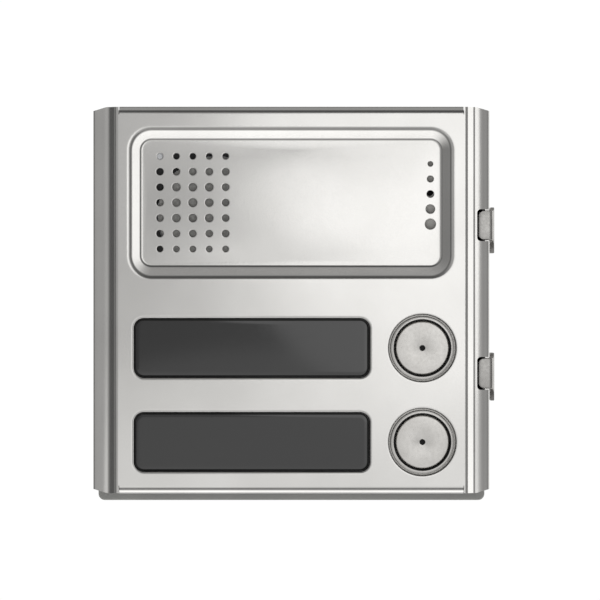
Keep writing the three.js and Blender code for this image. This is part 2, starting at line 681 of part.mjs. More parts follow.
for (const { name, z } of ROWS) {
  addGroup((group) => {
    add(group, `window_gasket_${name}`, windowGasket(z), FINISH.blackRubber);
    add(group, `name_window_${name}`, nameWindow(z), FINISH.smokedLens);
    add(group, `name_card_${name}`, nameCard(z), FINISH.paperCard);
    add(group, `light_guide_${name}`, lightGuide(z), FINISH.opalGuide);
    add(group, `lamp_strip_${name}`, lampStrip(z), FINISH.whitePlastic);
  });
  addGroup((group) => {
    add(group, `button_gasket_${name}`, buttonGasket(z), FINISH.blackRubber);
    add(group, `button_bezel_${name}`, buttonBezel(z), FINISH.turnedSteel);
    add(group, `button_cap_${name}`, buttonCap(z), FINISH.turnedSteel);
    add(group, `button_plunger_${name}`, buttonPlunger(z), FINISH.blackPlastic);
    add(group, `button_spring_${name}`, buttonSpring(z), FINISH.springSteel);
    add(group, `button_switch_${name}`, switchBody(z), FINISH.blackPlastic);
    add(group, `switch_slider_${name}`, switchSlider(z), FINISH.whitePlastic);
  });
}

addGroup((group) => {
  add(group, 'speaker_gauze', gauzeGeometry(), FINISH.greyRubber);
  add(group, 'speaker_gasket', speakerGasket(), FINISH.blackRubber);
  add(group, 'speaker_frame', speakerFrame(), FINISH.zincSteel);
  add(group, 'speaker_cone', speakerCone(), FINISH.conePaper);
  add(group, 'speaker_magnet', speakerMagnet(), FINISH.zincSteel);
  add(group, 'speaker_screw_upper', speakerScrew(1), FINISH.zincSteel);
  add(group, 'speaker_screw_lower', speakerScrew(-1), FINISH.zincSteel);
});

addGroup((group) => {
  add(group, 'microphone_boot', microphoneBoot(), FINISH.greyRubber);
  add(group, 'microphone_capsule', microphoneCapsule(), FINISH.zincSteel);
});

add(panel, 'button_board', buttonBoard(), FINISH.greenBoard);
add(panel, 'audio_board', audioBoard(), FINISH.greenBoard);
add(panel, 'board_link', boardLink(), FINISH.blackPlastic);
add(panel, 'rear_seal', rearSeal(), FINISH.blackRubber);
add(panel, 'rear_housing', housingGeometry(), FINISH.greyHousing);

for (const hook of HOOKS) {
  add(panel, `side_hook_${hook.name}`, hookGeometry(hook), FINISH.springSteel);
  add(panel, `hook_screw_${hook.name}`, hookScrew(hook), FINISH.zincSteel);
}

let screwNumber = 0;
for (const x of [-POST.x, POST.x]) {
  for (const z of [-POST.z, POST.z]) {
    screwNumber += 1;
    add(panel, `housing_screw_${screwNumber}`, housingScrew(x, z), FINISH.zincSteel);
  }
}

addGroup((group) => {
  add(group, 'terminal_block', terminalBlock(), FINISH.greenTerminal);
  for (let i = 0; i < TERMINAL.poles; i += 1) {
    add(group, `terminal_screw_${i + 1}`, terminalScrew(i), FINISH.zincSteel);
  }
  add(group, 'link_socket', linkSocket(), FINISH.blackPlastic);
});

for (const trimmer of TRIMMERS) {
  addGroup((group) => {
    add(group, `${trimmer.name}_trimmer`, trimmerBody(trimmer), FINISH.blueTrimmer);
    add(group, `${trimmer.name}_trimmer_rotor`, trimmerRotor(trimmer), FINISH.whitePlastic);
  });
}

export default panel;
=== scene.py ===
# %% [markdown]
# # A door intercom panel
#
# This lesson dresses a stainless entry module: one pressed plate with a sunken speech tray, two smoked
# name windows, two turned bell buttons, hooks on the right edge and a moulded housing behind. The
# engineering model already says where every part is. We read places from it, build finer surfaces
# around the same boxes, and give each part a finish made of shader nodes.

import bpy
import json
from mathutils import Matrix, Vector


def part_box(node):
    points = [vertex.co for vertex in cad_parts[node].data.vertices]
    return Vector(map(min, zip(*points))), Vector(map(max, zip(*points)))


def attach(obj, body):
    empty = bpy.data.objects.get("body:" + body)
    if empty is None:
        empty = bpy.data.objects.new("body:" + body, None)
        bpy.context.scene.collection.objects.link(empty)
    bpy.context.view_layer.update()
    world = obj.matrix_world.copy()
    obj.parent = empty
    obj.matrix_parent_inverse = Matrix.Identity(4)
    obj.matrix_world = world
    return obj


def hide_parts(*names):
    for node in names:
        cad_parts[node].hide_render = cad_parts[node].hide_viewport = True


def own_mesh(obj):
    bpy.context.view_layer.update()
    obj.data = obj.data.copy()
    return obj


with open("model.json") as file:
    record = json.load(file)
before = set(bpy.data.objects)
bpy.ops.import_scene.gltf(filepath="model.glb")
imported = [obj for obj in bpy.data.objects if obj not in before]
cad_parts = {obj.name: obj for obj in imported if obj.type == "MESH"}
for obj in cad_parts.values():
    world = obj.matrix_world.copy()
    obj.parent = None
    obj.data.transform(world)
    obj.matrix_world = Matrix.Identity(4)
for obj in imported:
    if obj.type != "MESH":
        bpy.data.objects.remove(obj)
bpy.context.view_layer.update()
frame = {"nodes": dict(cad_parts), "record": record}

import json
import math

import bmesh
import bpy
import numpy as np
from mathutils import Vector
from mathutils.geometry import delaunay_2d_cdt, tessellate_polygon

MM = 0.001
front_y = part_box("fascia")[0].y

# %% [markdown]
# ## Camera and light first
#
# The panel is seen square on, from a metre and a half, through a very long lens, so that its sides
# hardly taper.
#
# Polished steel has almost no colour of its own: it shows the room. A few large lamps would do for
# paint, but the gaps between them would show in the steel. So the room itself is designed, as cards
# are placed round a shiny product. The world shader splits the direction of a reflection into its
# angle away from the lens axis and its bearing round that axis (right, left, up, down), and each
# bearing has its own ramp of brightness. White stands right and below, grey stands left, and the
# ceiling stays dark.

# %% The camera
centre_x = 2.15 * MM
view_distance = 1.5
view_width = 0.15

camera_data = bpy.data.cameras.new("panel_camera")
camera_data.sensor_width = 36
camera_data.lens = 36 * view_distance / view_width
camera = bpy.data.objects.new("panel_camera", camera_data)
camera.location = (centre_x, front_y - view_distance, 0)
camera.rotation_euler = (math.pi / 2, 0, 0)
bpy.context.collection.objects.link(camera)
bpy.context.scene.camera = camera
bpy.context.scene.view_settings.view_transform = "Standard"
print("lens of", round(camera_data.lens), "mm")

# %% The room that the steel reflects
# Each ramp lists (degrees away from the lens axis, brightness).
ROOM = {
    "right": [(0, 0.62), (3, 0.78), (6, 0.88), (10, 0.66), (18, 0.44), (26, 0.33), (33, 0.42), (42, 0.24),
              (48, 0.14), (58, 0.16), (68, 0.60), (78, 1.4), (104, 1.4), (124, 0.72), (180, 0.9)],
    "left": [(0, 0.62), (4, 0.49), (8, 0.42), (26, 0.46), (36, 0.46), (48, 0.28), (54, 0.11), (61, 0.11),
             (68, 0.26), (80, 0.28), (89, 0.25), (93, 0.09), (116, 0.10), (130, 0.5), (180, 0.9)],
    "up": [(0, 0.62), (9, 0.60), (13, 0.48), (20, 0.16), (26, 0.09), (50, 0.09), (62, 0.30), (72, 0.40),
           (88, 0.44), (100, 0.38), (118, 0.18), (140, 0.45), (180, 0.9)],
    "down": [(0, 0.62), (10, 0.72), (20, 0.40), (28, 0.11), (44, 0.11), (56, 0.45), (66, 0.75),
             (76, 1.5), (104, 1.5), (124, 0.72), (180, 0.9)],
}


# %% Helpers for the room's shader
def math_node(tree, operation, first, second=None):
    """One Math node: operation(first, second), each a number or another node's output."""
    node = tree.nodes.new("ShaderNodeMath")
    node.operation = operation
    for socket, value in zip(node.inputs, (first, second)):
        if isinstance(value, (int, float)):
            socket.default_value = value
        elif value is not None:
            tree.links.new(value, socket)
    return node.outputs[0]


def brightness_ramp(tree, angle, wanted, peak=2.0):
    """Brightness by angle. A ramp's colours end at 1, so each level is divided by the peak inside
    the ramp and multiplied by it afterwards."""
    ramp = tree.nodes.new("ShaderNodeValToRGB")
    tree.links.new(angle, ramp.inputs[0])
    stops = ramp.color_ramp.elements
    while len(stops) < len(wanted):
        stops.new(0.5)
    for stop, (degrees, level) in zip(stops, wanted):
        stop.position = degrees / 180
        stop.color = (level / peak, level / peak, level / peak, 1)
    return math_node(tree, "MULTIPLY", ramp.outputs[0], peak)


def room_colour(tree, ramps):
    """The sum over the four bearings of weight x ramp(angle). The angle is the arc cosine of the
    direction's share towards the lens, over pi. The weight of right and left is the squared x share
    of the direction round the lens axis, and that of up and down is the squared z share."""
    split = tree.nodes.new("ShaderNodeSeparateXYZ")
    tree.links.new(tree.nodes.new("ShaderNodeTexCoord").outputs["Generated"], split.inputs[0])
    x, y, z = split.outputs
    toward = math_node(tree, "MAXIMUM", math_node(tree, "MULTIPLY", y, -1.0), -1.0)
    toward = math_node(tree, "MINIMUM", toward, 1.0)
    angle = math_node(tree, "DIVIDE", math_node(tree, "ARCCOSINE", toward), math.pi)
    across = math_node(tree, "ADD", math_node(tree, "MULTIPLY", x, x), math_node(tree, "MULTIPLY", z, z))
    across = math_node(tree, "MAXIMUM", across, 1e-6)
    total = 0.0
    for name, axis, sign in (("right", x, 1.0), ("left", x, -1.0), ("up", z, 1.0), ("down", z, -1.0)):
        part = math_node(tree, "MAXIMUM", math_node(tree, "MULTIPLY", axis, sign), 0.0)
        weight = math_node(tree, "DIVIDE", math_node(tree, "MULTIPLY", part, part), across)
        share = math_node(tree, "MULTIPLY", weight, brightness_ramp(tree, angle, ramps[name]))
        total = math_node(tree, "ADD", share, total)
    return total


# %% The room, with white paper where the camera looks past the panel
PAPER_WHITE = 1.02


def room_light(ramps):
    """The world: the room's brightness for every ray except the camera's own, which sees paper."""
    world = bpy.data.worlds.new("studio")
    bpy.context.scene.world = world
    world.use_nodes = True
    tree = world.node_tree
    tree.nodes.clear()
    room = tree.nodes.new("ShaderNodeBackground")
    tree.links.new(room_colour(tree, ramps), room.inputs["Color"])
    paper = tree.nodes.new("ShaderNodeBackground")
    paper.inputs["Color"].default_value = (1, 1, 1, 1)
    paper.inputs["Strength"].default_value = PAPER_WHITE
    mix = tree.nodes.new("ShaderNodeMixShader")
    tree.links.new(tree.nodes.new("ShaderNodeLightPath").outputs["Is Camera Ray"], mix.inputs[0])
    tree.links.new(room.outputs[0], mix.inputs[1])
    tree.links.new(paper.outputs[0], mix.inputs[2])
    tree.links.new(mix.outputs[0], tree.nodes.new("ShaderNodeOutputWorld").inputs[0])
    print("room ramps:", {name: len(stops) for name, stops in ramps.items()})


room_light(ROOM)

# %% [markdown]
# The room alone is the same at every point of a flat plate. A near card isn't: seen in the plate, it
# slides across as the eye moves, so its edge falls as a broad soft gradient. Two round cards stand
# in front of the module, one to the right and a little high, and one low. They are area lamps that
# the camera itself doesn't see, and their power follows from the brightness wanted:
# power = pi x area x brightness. A card of a real mesh would work as well, but would hide the room.

# %% Near cards
def near_card(name, x, z, away, radius, level):
    """A round area lamp of the given radius in metres at (x, z), away in front of the plate and
    facing it, with the power that gives it the brightness level."""
    lamp = bpy.data.lights.new(name, "AREA")
    lamp.shape = "DISK"
    lamp.size = 2 * radius
    lamp.energy = level * math.pi * math.pi * radius ** 2
    holder = bpy.data.objects.new(name, lamp)
    holder.location = (x, front_y - away, z)
    holder.rotation_euler = (math.pi / 2, 0, 0)
    holder.visible_camera = False
    bpy.context.collection.objects.link(holder)
    print(name, "uses", round(lamp.energy, 4), "W")


near_card("card_right", 0.054, 0.040, 0.35, 0.077, 0.68)
near_card("card_low", -0.01, -0.165, 0.35, 0.150, 0.30)

# %% [markdown]
# ## Shapes from numbers
#
# Sheet metal and mouldings are all made one way here: draw a profile as a few corners with fillet
# radii, then carry it along a path. A path round a hole is a rounded rectangle or a circle with its
# outward normals. What is left between those rims is flat, and is filled by cutting a polygon with
# holes into triangles. Every rim starts with a narrow flat strip, so the shading of the flat parts
# stays perfectly flat: on steel, even a slight slope in the normals would show as a smear.
#
# Modelling the plate by subdivision would round everything a little; booleans on a dense grid would
# leave dents in the shading. Profiles and flat fills keep flat what the press kept flat.

# %% Profiles
def filleted(corners, radii, steps=6):
    """A polyline whose inner corners are replaced by arcs that touch both sides: each arc starts
    radius x tan(half the turn) before the corner and turns about a centre one radius to the side."""
    corners = np.asarray(corners, float)
    path = [corners[:1]]
    for before, here, after, radius in zip(corners, corners[1:], corners[2:], radii):
        u = (here - before) / np.linalg.norm(here - before)
        v = (after - here) / np.linalg.norm(after - here)
        turn = math.atan2(u[0] * v[1] - u[1] * v[0], u @ v)
        start = here - u * radius * abs(math.tan(turn / 2))
        side = math.copysign(1, turn) * np.array([-u[1], u[0]])
        centre = start + side * radius
        angle = np.linspace(0, turn, steps + 1)[:, None]
        arm = -side * radius
        across = np.array([-arm[1], arm[0]])
        path.append(centre + arm * np.cos(angle) + across * np.sin(angle))
    path.append(corners[-1:])
    return np.vstack(path)


def behind(corners, radii, thickness):
    """The same corners moved one thickness to the left of the path, by the mitre rule, with each
    fillet radius made smaller on the inside of a bend and larger on the outside."""
    corners = np.asarray(corners, float)
    along = np.diff(corners, axis=0)
    along /= np.linalg.norm(along, axis=1)[:, None]
    left = np.stack([-along[:, 1], along[:, 0]], axis=1)
    before, after = np.vstack([left[:1], left]), np.vstack([left, left[-1:]])
    share = thickness / (1 + (before * after).sum(axis=1))
    turn = along[:-1, 0] * along[1:, 1] - along[:-1, 1] * along[1:, 0]
    moved = np.maximum(np.asarray(radii) - np.sign(turn) * thickness, 0.05)
    return corners + (before + after) * share[:, None], moved


# %% Paths
def rounded_rectangle(x, z, width, height, radius, steps=10):
    """Points and outward normals round a rectangle: four quarter circles whose centres are one
    radius in from the corners. A circle is the case where the radius is half of each side."""
    quarter = np.linspace(0, math.pi / 2, steps + 1)
    starts = np.arange(4)[:, None] * math.pi / 2
    angle = (starts + quarter).ravel()
    signs = np.repeat(np.array([[1, 1], [-1, 1], [-1, -1], [1, -1]]), steps + 1, axis=0)
    centres = np.array([x, z]) + signs * (np.array([width, height]) / 2 - radius)
    normals = np.stack([np.cos(angle), np.sin(angle)], axis=1)
    return centres + normals * radius, normals


def circle(x, z, radius, sides=48):
    """Points and outward normals round a circle."""
    angle = np.arange(sides) * 2 * math.pi / sides
    normals = np.stack([np.cos(angle), np.sin(angle)], axis=1)
    return np.array([x, z]) + normals * radius, normals


def carried(path, profile):
    """A surface of two parameters: point = path + offset x normal, at the profile's depth. Rows
    follow the profile's (offset, depth) pairs and columns follow the path."""
    points, normals = path
    profile = np.asarray(profile, float)
    flat = points[None] + profile[:, None, :1] * normals[None]
    depth = np.broadcast_to(profile[:, None, 1], flat.shape[:2])
    return np.stack([flat[..., 0], depth, flat[..., 1]], axis=-1)


def spun(profile, x, z, sides=64):
    """A turned surface: (radius, depth) pairs spun about the depth axis through (x, z)."""
    return carried(circle(x, z, 0.0, sides), profile)


# %% One closed mesh from many surfaces
class Shell:
    """Gathers the grids and flat fills of one piece in millimetres (x, depth behind the front, z)
    and welds them into one closed mesh in metres."""

    def __init__(self):
        self.points, self.faces, self.count = [], [], 0

    def grid(self, points, wrap=False):
        """Quads between neighbouring rows and columns; wrap joins the last column to the first."""
        rows, columns = points.shape[:2]
        index = np.arange(rows * columns).reshape(rows, columns) + self.count
        if wrap:
            index = np.hstack([index, index[:, :1]])
        quads = np.stack([index[:-1, :-1], index[:-1, 1:], index[1:, 1:], index[1:, :-1]], axis=-1)
        self.points.append(points.reshape(-1, 3))
        self.faces += quads.reshape(-1, 4).tolist()
        self.count += rows * columns
        return self

    def fill(self, *loops):
        """A flat polygon: the outline first, then the rims of its holes."""
        triangles = tessellate_polygon([[Vector(p) for p in loop] for loop in loops])
        self.points.append(np.vstack(loops))
        self.faces += [[i + self.count for i in t] for t in triangles]
        self.count += sum(len(loop) for loop in loops)
        return self

    def mesh(self, name):
        """Weld doubled points, turn every face outwards, and count the edges left open."""
        vertices = np.vstack(self.points) * MM + np.array([0, front_y, 0])
        mesh = bpy.data.meshes.new(name)
        mesh.from_pydata(vertices.tolist(), [], self.faces)
        work = bmesh.new()
        work.from_mesh(mesh)
        bmesh.ops.remove_doubles(work, verts=work.verts, dist=2e-6)
        bmesh.ops.dissolve_degenerate(work, edges=work.edges, dist=1e-7)
        bmesh.ops.recalc_face_normals(work, faces=work.faces)
        if work.calc_volume(signed=True) < 0:
            bmesh.ops.reverse_faces(work, faces=work.faces)
        open_edges = sum(len(edge.link_faces) != 2 for edge in work.edges)
        work.to_mesh(mesh)
        work.free()
        return mesh, open_edges

    def piece(self, name, body, slot, stands_for=(), **options):
        """Make the mesh and register it as a piece."""
        mesh, open_edges = self.mesh(name)
        return register(mesh, name, body, slot, stands_for, open_edges, **options)


FINISHES = {}


def register(mesh, name, body, slot, stands_for=(), open_edges=0, crease=35, finish_name=None):
    """Smooth shading with edges sharper than the crease angle kept sharp, the slot's finish unless
    another is named, and the frame's facts about the piece."""
    mesh.materials.clear()
    mesh.polygons.foreach_set("material_index", np.zeros(len(mesh.polygons), np.int32))
    mesh.polygons.foreach_set("use_smooth", np.ones(len(mesh.polygons), bool))
    mesh.set_sharp_from_angle(angle=math.radians(crease))
    mesh.materials.append(FINISHES[finish_name or slot])
    piece = bpy.data.objects.new(name, mesh)
    bpy.context.collection.objects.link(piece)
    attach(piece, body)
    if stands_for:
        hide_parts(*stands_for)
    print(f"{name}: {len(mesh.polygons)} faces, {open_edges} open edges")
    return piece


def reach(node):
    """Low and high corner of a part in millimetres, as (x, depth behind the front, z)."""
    low, high = (np.array(corner) - np.array([0, front_y, 0]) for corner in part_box(node))
    return low / MM, high / MM


def middle(node):
    """The centre of a part's box, as (x, depth, z) in millimetres."""
    low, high = reach(node)
    return (low + high) / 2


print("plate spans", np.round(reach("fascia"), 1).tolist(), "mm")

# %% [markdown]
# ## Finishes
#
# Every finish here is a Principled shader driven by noise in object coordinates: a slow, wide noise
# shifts the colour a little, as batches, fingers and wear do, and a fine noise changes the roughness
# and tilts the surface, as polishing grain or moulding texture does. Only the numbers change from
# one material to the next, so one helper builds them all. Image textures would tile and blur close
# up; noise stays sharp at every distance.

# %% A helper for finishes
def finish(name, dark, light, rough, metal=0.0, patch=60, grain=4000, relief=0.04, gloss=0.5):
    """A material. Colour = mix(dark, light) by a slow noise of scale patch; roughness runs between
    the two values in rough, and the bump's strength is relief, both by a fine noise of scale grain.
    It joins the table of finishes under its name."""
    material = bpy.data.materials.new(name)
    material.use_nodes = True
    nodes, links = material.node_tree.nodes, material.node_tree.links
    shader = nodes["Principled BSDF"]
    shader.inputs["Metallic"].default_value = metal
    shader.inputs["Specular IOR Level"].default_value = gloss
    place = nodes.new("ShaderNodeTexCoord").outputs["Object"]
    slow = nodes.new("ShaderNodeTexNoise")
    slow.inputs["Scale"].default_value = patch
    slow.inputs["Detail"].default_value = 3
    links.new(place, slow.inputs["Vector"])
    colour = nodes.new("ShaderNodeValToRGB")
    colour.color_ramp.elements[0].position = 0.32
    colour.color_ramp.elements[0].color = (*dark, 1)
    colour.color_ramp.elements[1].position = 0.68
    colour.color_ramp.elements[1].color = (*light, 1)
    links.new(slow.outputs["Fac"], colour.inputs[0])
    links.new(colour.outputs[0], shader.inputs["Base Color"])
    fine = nodes.new("ShaderNodeTexNoise")
    fine.inputs["Scale"].default_value = grain
    fine.inputs["Detail"].default_value = 2
    links.new(place, fine.inputs["Vector"])
    spread = nodes.new("ShaderNodeMapRange")
    spread.inputs["From Min"].default_value = 0.3
    spread.inputs["From Max"].default_value = 0.7
    spread.inputs["To Min"].default_value = rough[0]
    spread.inputs["To Max"].default_value = rough[1]
    links.new(fine.outputs["Fac"], spread.inputs["Value"])
    links.new(spread.outputs[0], shader.inputs["Roughness"])
    bump = nodes.new("ShaderNodeBump")
    bump.inputs["Strength"].default_value = relief
    bump.inputs["Distance"].default_value = 0.0002
    links.new(fine.outputs["Fac"], bump.inputs["Height"])
    links.new(bump.outputs[0], shader.inputs["Normal"])
    FINISHES[name] = material
    return material


# %% The metals
# Each row: name, darker colour, lighter colour, range of roughness.
finish("satin_stainless", (0.66, 0.65, 0.63), (0.72, 0.71, 0.69), (0.155, 0.195),
       metal=1, patch=45, grain=3500, relief=0.02)
finish("turned_stainless", (0.59, 0.575, 0.55), (0.65, 0.635, 0.61), (0.23, 0.28),
       metal=1, patch=420, grain=1400, relief=0.012)
finish("spring_steel", (0.40, 0.39, 0.375), (0.50, 0.49, 0.47), (0.24, 0.32),
       metal=1, patch=150, grain=1800, relief=0.012)
finish("zinc_plate", (0.55, 0.56, 0.58), (0.68, 0.69, 0.70), (0.22, 0.38),
       metal=1, patch=400, grain=2500, relief=0.06)
finish("tinned_brass", (0.62, 0.60, 0.55), (0.74, 0.72, 0.67), (0.2, 0.3),
       metal=1, patch=300, grain=2500, relief=0.05)
print("metals:", sorted(FINISHES))

# %% [markdown]
# The smoked window is almost black: what is seen in it is the room, on a smooth face with a slightly
# stronger gloss than other plastics. Housings have the eggshell texture of an eroded mould, so they
# get more bump; rubber is rougher and has no gloss to speak of.

# %% The plastics and rubbers
finish("smoked_window", (0.004, 0.004, 0.004), (0.006, 0.006, 0.0055), (0.06, 0.09),
       grain=1500, relief=0.004, gloss=0.85)
finish("grey_housing", (0.36, 0.36, 0.35), (0.40, 0.40, 0.385), (0.48, 0.6),
       patch=90, grain=1800, relief=0.35)
finish("black_moulding", (0.012, 0.012, 0.013), (0.022, 0.022, 0.023), (0.42, 0.58),
       patch=90, grain=1800, relief=0.3)
finish("white_moulding", (0.62, 0.61, 0.58), (0.72, 0.71, 0.68), (0.35, 0.45), grain=1800, relief=0.15)
finish("opal_guide", (0.70, 0.70, 0.66), (0.80, 0.80, 0.76), (0.2, 0.3), grain=1500, relief=0.05)
finish("green_terminal", (0.03, 0.20, 0.07), (0.045, 0.26, 0.095), (0.38, 0.5), grain=1800, relief=0.15)
finish("blue_trimmer", (0.02, 0.07, 0.30), (0.03, 0.10, 0.38), (0.32, 0.45), grain=1800, relief=0.12)
finish("black_rubber", (0.010, 0.010, 0.010), (0.018, 0.018, 0.018), (0.7, 0.85), grain=2200, relief=0.25)
finish("grey_rubber", (0.62, 0.61, 0.58), (0.72, 0.71, 0.68), (0.65, 0.8), grain=2200, relief=0.25)

# %% Papers and gauze
finish("card_paper", (0.74, 0.73, 0.69), (0.82, 0.81, 0.77), (0.75, 0.9),
       patch=300, grain=2600, relief=0.3)
finish("cone_paper", (0.02, 0.019, 0.018), (0.045, 0.043, 0.04), (0.8, 0.95),
       patch=500, grain=2600, relief=0.5)
finish("grey_gauze", (0.36, 0.355, 0.34), (0.62, 0.61, 0.59), (0.45, 0.6),
       metal=0.3, patch=1600, grain=3000, relief=0.2)
print(len(FINISHES), "finishes so far")

# %% [markdown]
# A circuit board is lacquered green glass cloth. The lacquer hides most of the cloth, and lets the
# copper tracks show as slightly lighter ribs. A brick texture gives ribs that run and turn at right
# angles, which is how tracks are routed, and the finish's noise under it gives the cloth.

# %% The board lacquer
def lacquer():
    """Base colour = board green, lighter where the brick pattern's mortar draws a track."""
    green, pale_green = (0.012, 0.075, 0.028), (0.02, 0.11, 0.045)
    material = finish("green_board", green, pale_green, (0.22, 0.34), grain=1600, relief=0.1)
    nodes, links = material.node_tree.nodes, material.node_tree.links
    place = nodes.new("ShaderNodeTexCoord").outputs["Object"]
    turn = nodes.new("ShaderNodeMapping")
    turn.inputs["Rotation"].default_value = (math.pi / 2, 0, 0)
    links.new(place, turn.inputs["Vector"])
    tracks = nodes.new("ShaderNodeTexBrick")
    tracks.inputs["Scale"].default_value = 260
    tracks.inputs["Mortar Size"].default_value = 0.035
    tracks.inputs["Brick Width"].default_value = 1.7
    tracks.inputs["Row Height"].default_value = 0.42
    tracks.inputs["Color1"].default_value = (0.0, 0.0, 0.0, 1)
    tracks.inputs["Color2"].default_value = (0.0, 0.0, 0.0, 1)
    tracks.inputs["Mortar"].default_value = (0.03, 0.16, 0.06, 1)
    links.new(turn.outputs[0], tracks.inputs["Vector"])
    blend = nodes.new("ShaderNodeMix")
    blend.data_type = "RGBA"
    blend.blend_type = "ADD"
    blend.inputs[0].default_value = 1.0
    shader = nodes["Principled BSDF"]
    links.new(shader.inputs["Base Color"].links[0].from_socket, blend.inputs[6])
    links.new(tracks.outputs["Color"], blend.inputs[7])
    links.new(blend.outputs[2], shader.inputs["Base Color"])


lacquer()
print("board lacquer added:", "green_board" in FINISHES)

# %% [markdown]
# ## Parts that stay as the engineering model made them
#
# Boards, seals, switches and frames deep inside are already the right shape, so they only receive a
# finish. The record lists the material slot of every node, and one table gives each slot its finish.
# The microphone capsule is the exception: a black felt covers the side that is seen.

# %% Dress the engineering parts
OWN_FINISH = {"microphone_capsule": "black_rubber"}
slot_of = {row["node"]: row["material_slot"] for row in frame["record"]["subparts"]}
for node, holder in frame["nodes"].items():
    holder.data.materials.clear()
    holder.data.materials.append(FINISHES[OWN_FINISH.get(node, slot_of[node])])
print(len(slot_of), "nodes dressed with", len(set(slot_of.values())), "finishes")

# %% [markdown]
# ## The pressed plate
#
# One sheet of stainless, one millimetre thick, makes the whole front. Its long sides fall away in a
# shallow bevel, run flat for a moment and roll back over a round shoulder; top and bottom are a
# plain tight fold. The corners are slit so that the four flanges can bend without tearing. The
# speech tray is pressed in, and windows, button holes and sound holes are punched, which leaves a
# small roll on the side the punch came from. The front and the back are two skins, and the fillet
# radii of the back skin follow from those of the front by the sheet's thickness, as in real bending.

# %% Dimensions of the plate
# A section is a list of (distance from the middle, depth) corners, with a fillet radius for each
# inner corner; the tray's wall counts its distance from the tray's outline instead. FLAT is the half
# width and half height of the flat front, and WINDOW is a width, a height and a corner radius.
SHEET = 1.0
FLAT = (43.2, 46.4)
SLIT = 43.05
SIDE = [(43.2, 0), (43.95, 0), (45.65, 1.85), (47.6, 1.9), (49.6, 2.5), (49.6, 12.7)]
SIDE_RADII = [1.4, 0.9, 9.0, 0.5]
FOLD = [(46.4, 0), (48.4, 0), (48.4, 12.7)]
FOLD_RADII = [1.8]
TRAY_CENTRE = (-0.1, 24.3)
TRAY_CORNER = 2.8
TRAY = rounded_rectangle(*TRAY_CENTRE, 75.3, 31.9, TRAY_CORNER, 14)
TRAY_WALL = [(-0.9, 2.4), (0.02, 2.4), (2.5, 0), (3.7, 0)]
TRAY_RADII = [1.3, 2.2]
TRAY_DEPTH = TRAY_WALL[0][1]
WINDOW_ROWS = {"upper": -12.0, "lower": -35.5}
WINDOW_X = -9.9
WINDOW = np.array([59.0, 14.9, 2.5])
HOLE_RADIUS = 8.5
BUTTONS = {row: middle("button_cap_" + row)[[0, 2]] for row in ("upper", "lower")}
GRILLE_SIZES = [2.2, 2.05, 1.8, 1.55]
SPEECH_SIZES = [1.25, 1.6, 1.75, 2.25, 2.65]


def sound_holes():
    """x, z and radius of each hole. The grille is 5 by 7, and its holes shrink with the number of
    the ring they lie on, counted from the middle; the speech holes grow down one column."""
    column, row = np.meshgrid(np.arange(-2, 3), np.arange(-3, 4))
    ring = np.maximum(np.abs(column), np.abs(row))
    size = np.array(GRILLE_SIZES)[ring]
    grille = np.stack([-24.7 + 4.11 * column, 24.4 - 3.87 * row, size / 2], axis=-1).reshape(-1, 3)
    step = np.arange(5)
    speech = np.stack([34.8 + 0 * step, 26.55 + 3.77 * (2 - step), np.array(SPEECH_SIZES) / 2], axis=-1)
    return np.vstack([grille, speech])


print(len(sound_holes()), "sound holes; the tray is", TRAY_DEPTH, "mm deep")

# %% Rims and flanges
def punched(lip, roll, front, back_lip):
    """The rim of a punched hole from the front face to the back face, as (offset, depth) pairs: a
    flat strip, a roll of the given radius, the wall, and a flat strip behind."""
    corners = [(lip, front), (0, front), (0, front + SHEET), (back_lip, front + SHEET)]
    return filleted(corners, [roll, 0.05], 5)


def rim(shell, path, profile):
    """Adds a rim to the shell and returns its first and its last loop, which the flats join."""
    surface = carried(path, profile)
    shell.grid(surface, wrap=True)
    return surface[0], surface[-1]


def flange(shell, corners, radii, runs, placed):
    """A bent flange with both skins. The profile is (across, depth); runs holds the rows along the
    bend, one value per row and profile point; placed turns (across, depth, run) into points. Walls
    close the far edge, both ends, and the free parts of the near edge beyond the second row."""
    outer = filleted(corners, radii, 9)
    inner_corners, inner_radii = behind(corners, radii, SHEET)
    inner = filleted(inner_corners, inner_radii, 9)
    rows = runs(outer[:, 0])
    skins = [placed(skin[:, 0] + 0 * rows, skin[:, 1] + 0 * rows, rows) for skin in (outer, inner)]
    for skin in skins:
        shell.grid(skin)
    shell.grid(np.stack([skin[:, -1] for skin in skins]))
    shell.grid(np.stack([skin[0] for skin in skins]))
    shell.grid(np.stack([skin[-1] for skin in skins]))
    if len(rows) > 2:
        shell.grid(np.stack([skin[:2, 0] for skin in skins]))
        shell.grid(np.stack([skin[-2:, 0] for skin in skins]))


NOTCHES = {"upper": (14.75, 22.75), "lower": (-22.5, -14.25)}
LOWS, HIGHS = np.array(list(NOTCHES.values())).T
ROWS = np.sort(np.concatenate([[-FLAT[1], FLAT[1]], LOWS - 0.6, LOWS - 0.3, HIGHS + 0.3, HIGHS + 0.6]))


def outline(depth):
    """The flat's outline: up the right side by the flanges' rows, past both slits, down the left."""
    z = np.concatenate([ROWS, [FLAT[1]] * 2, ROWS[::-1], [-FLAT[1]] * 2])
    side = np.full(len(ROWS), FLAT[0])
    x = np.concatenate([side, [SLIT, -SLIT], -side, [-SLIT, SLIT]])
    return np.stack([x, np.full(len(x), depth), z], axis=1)


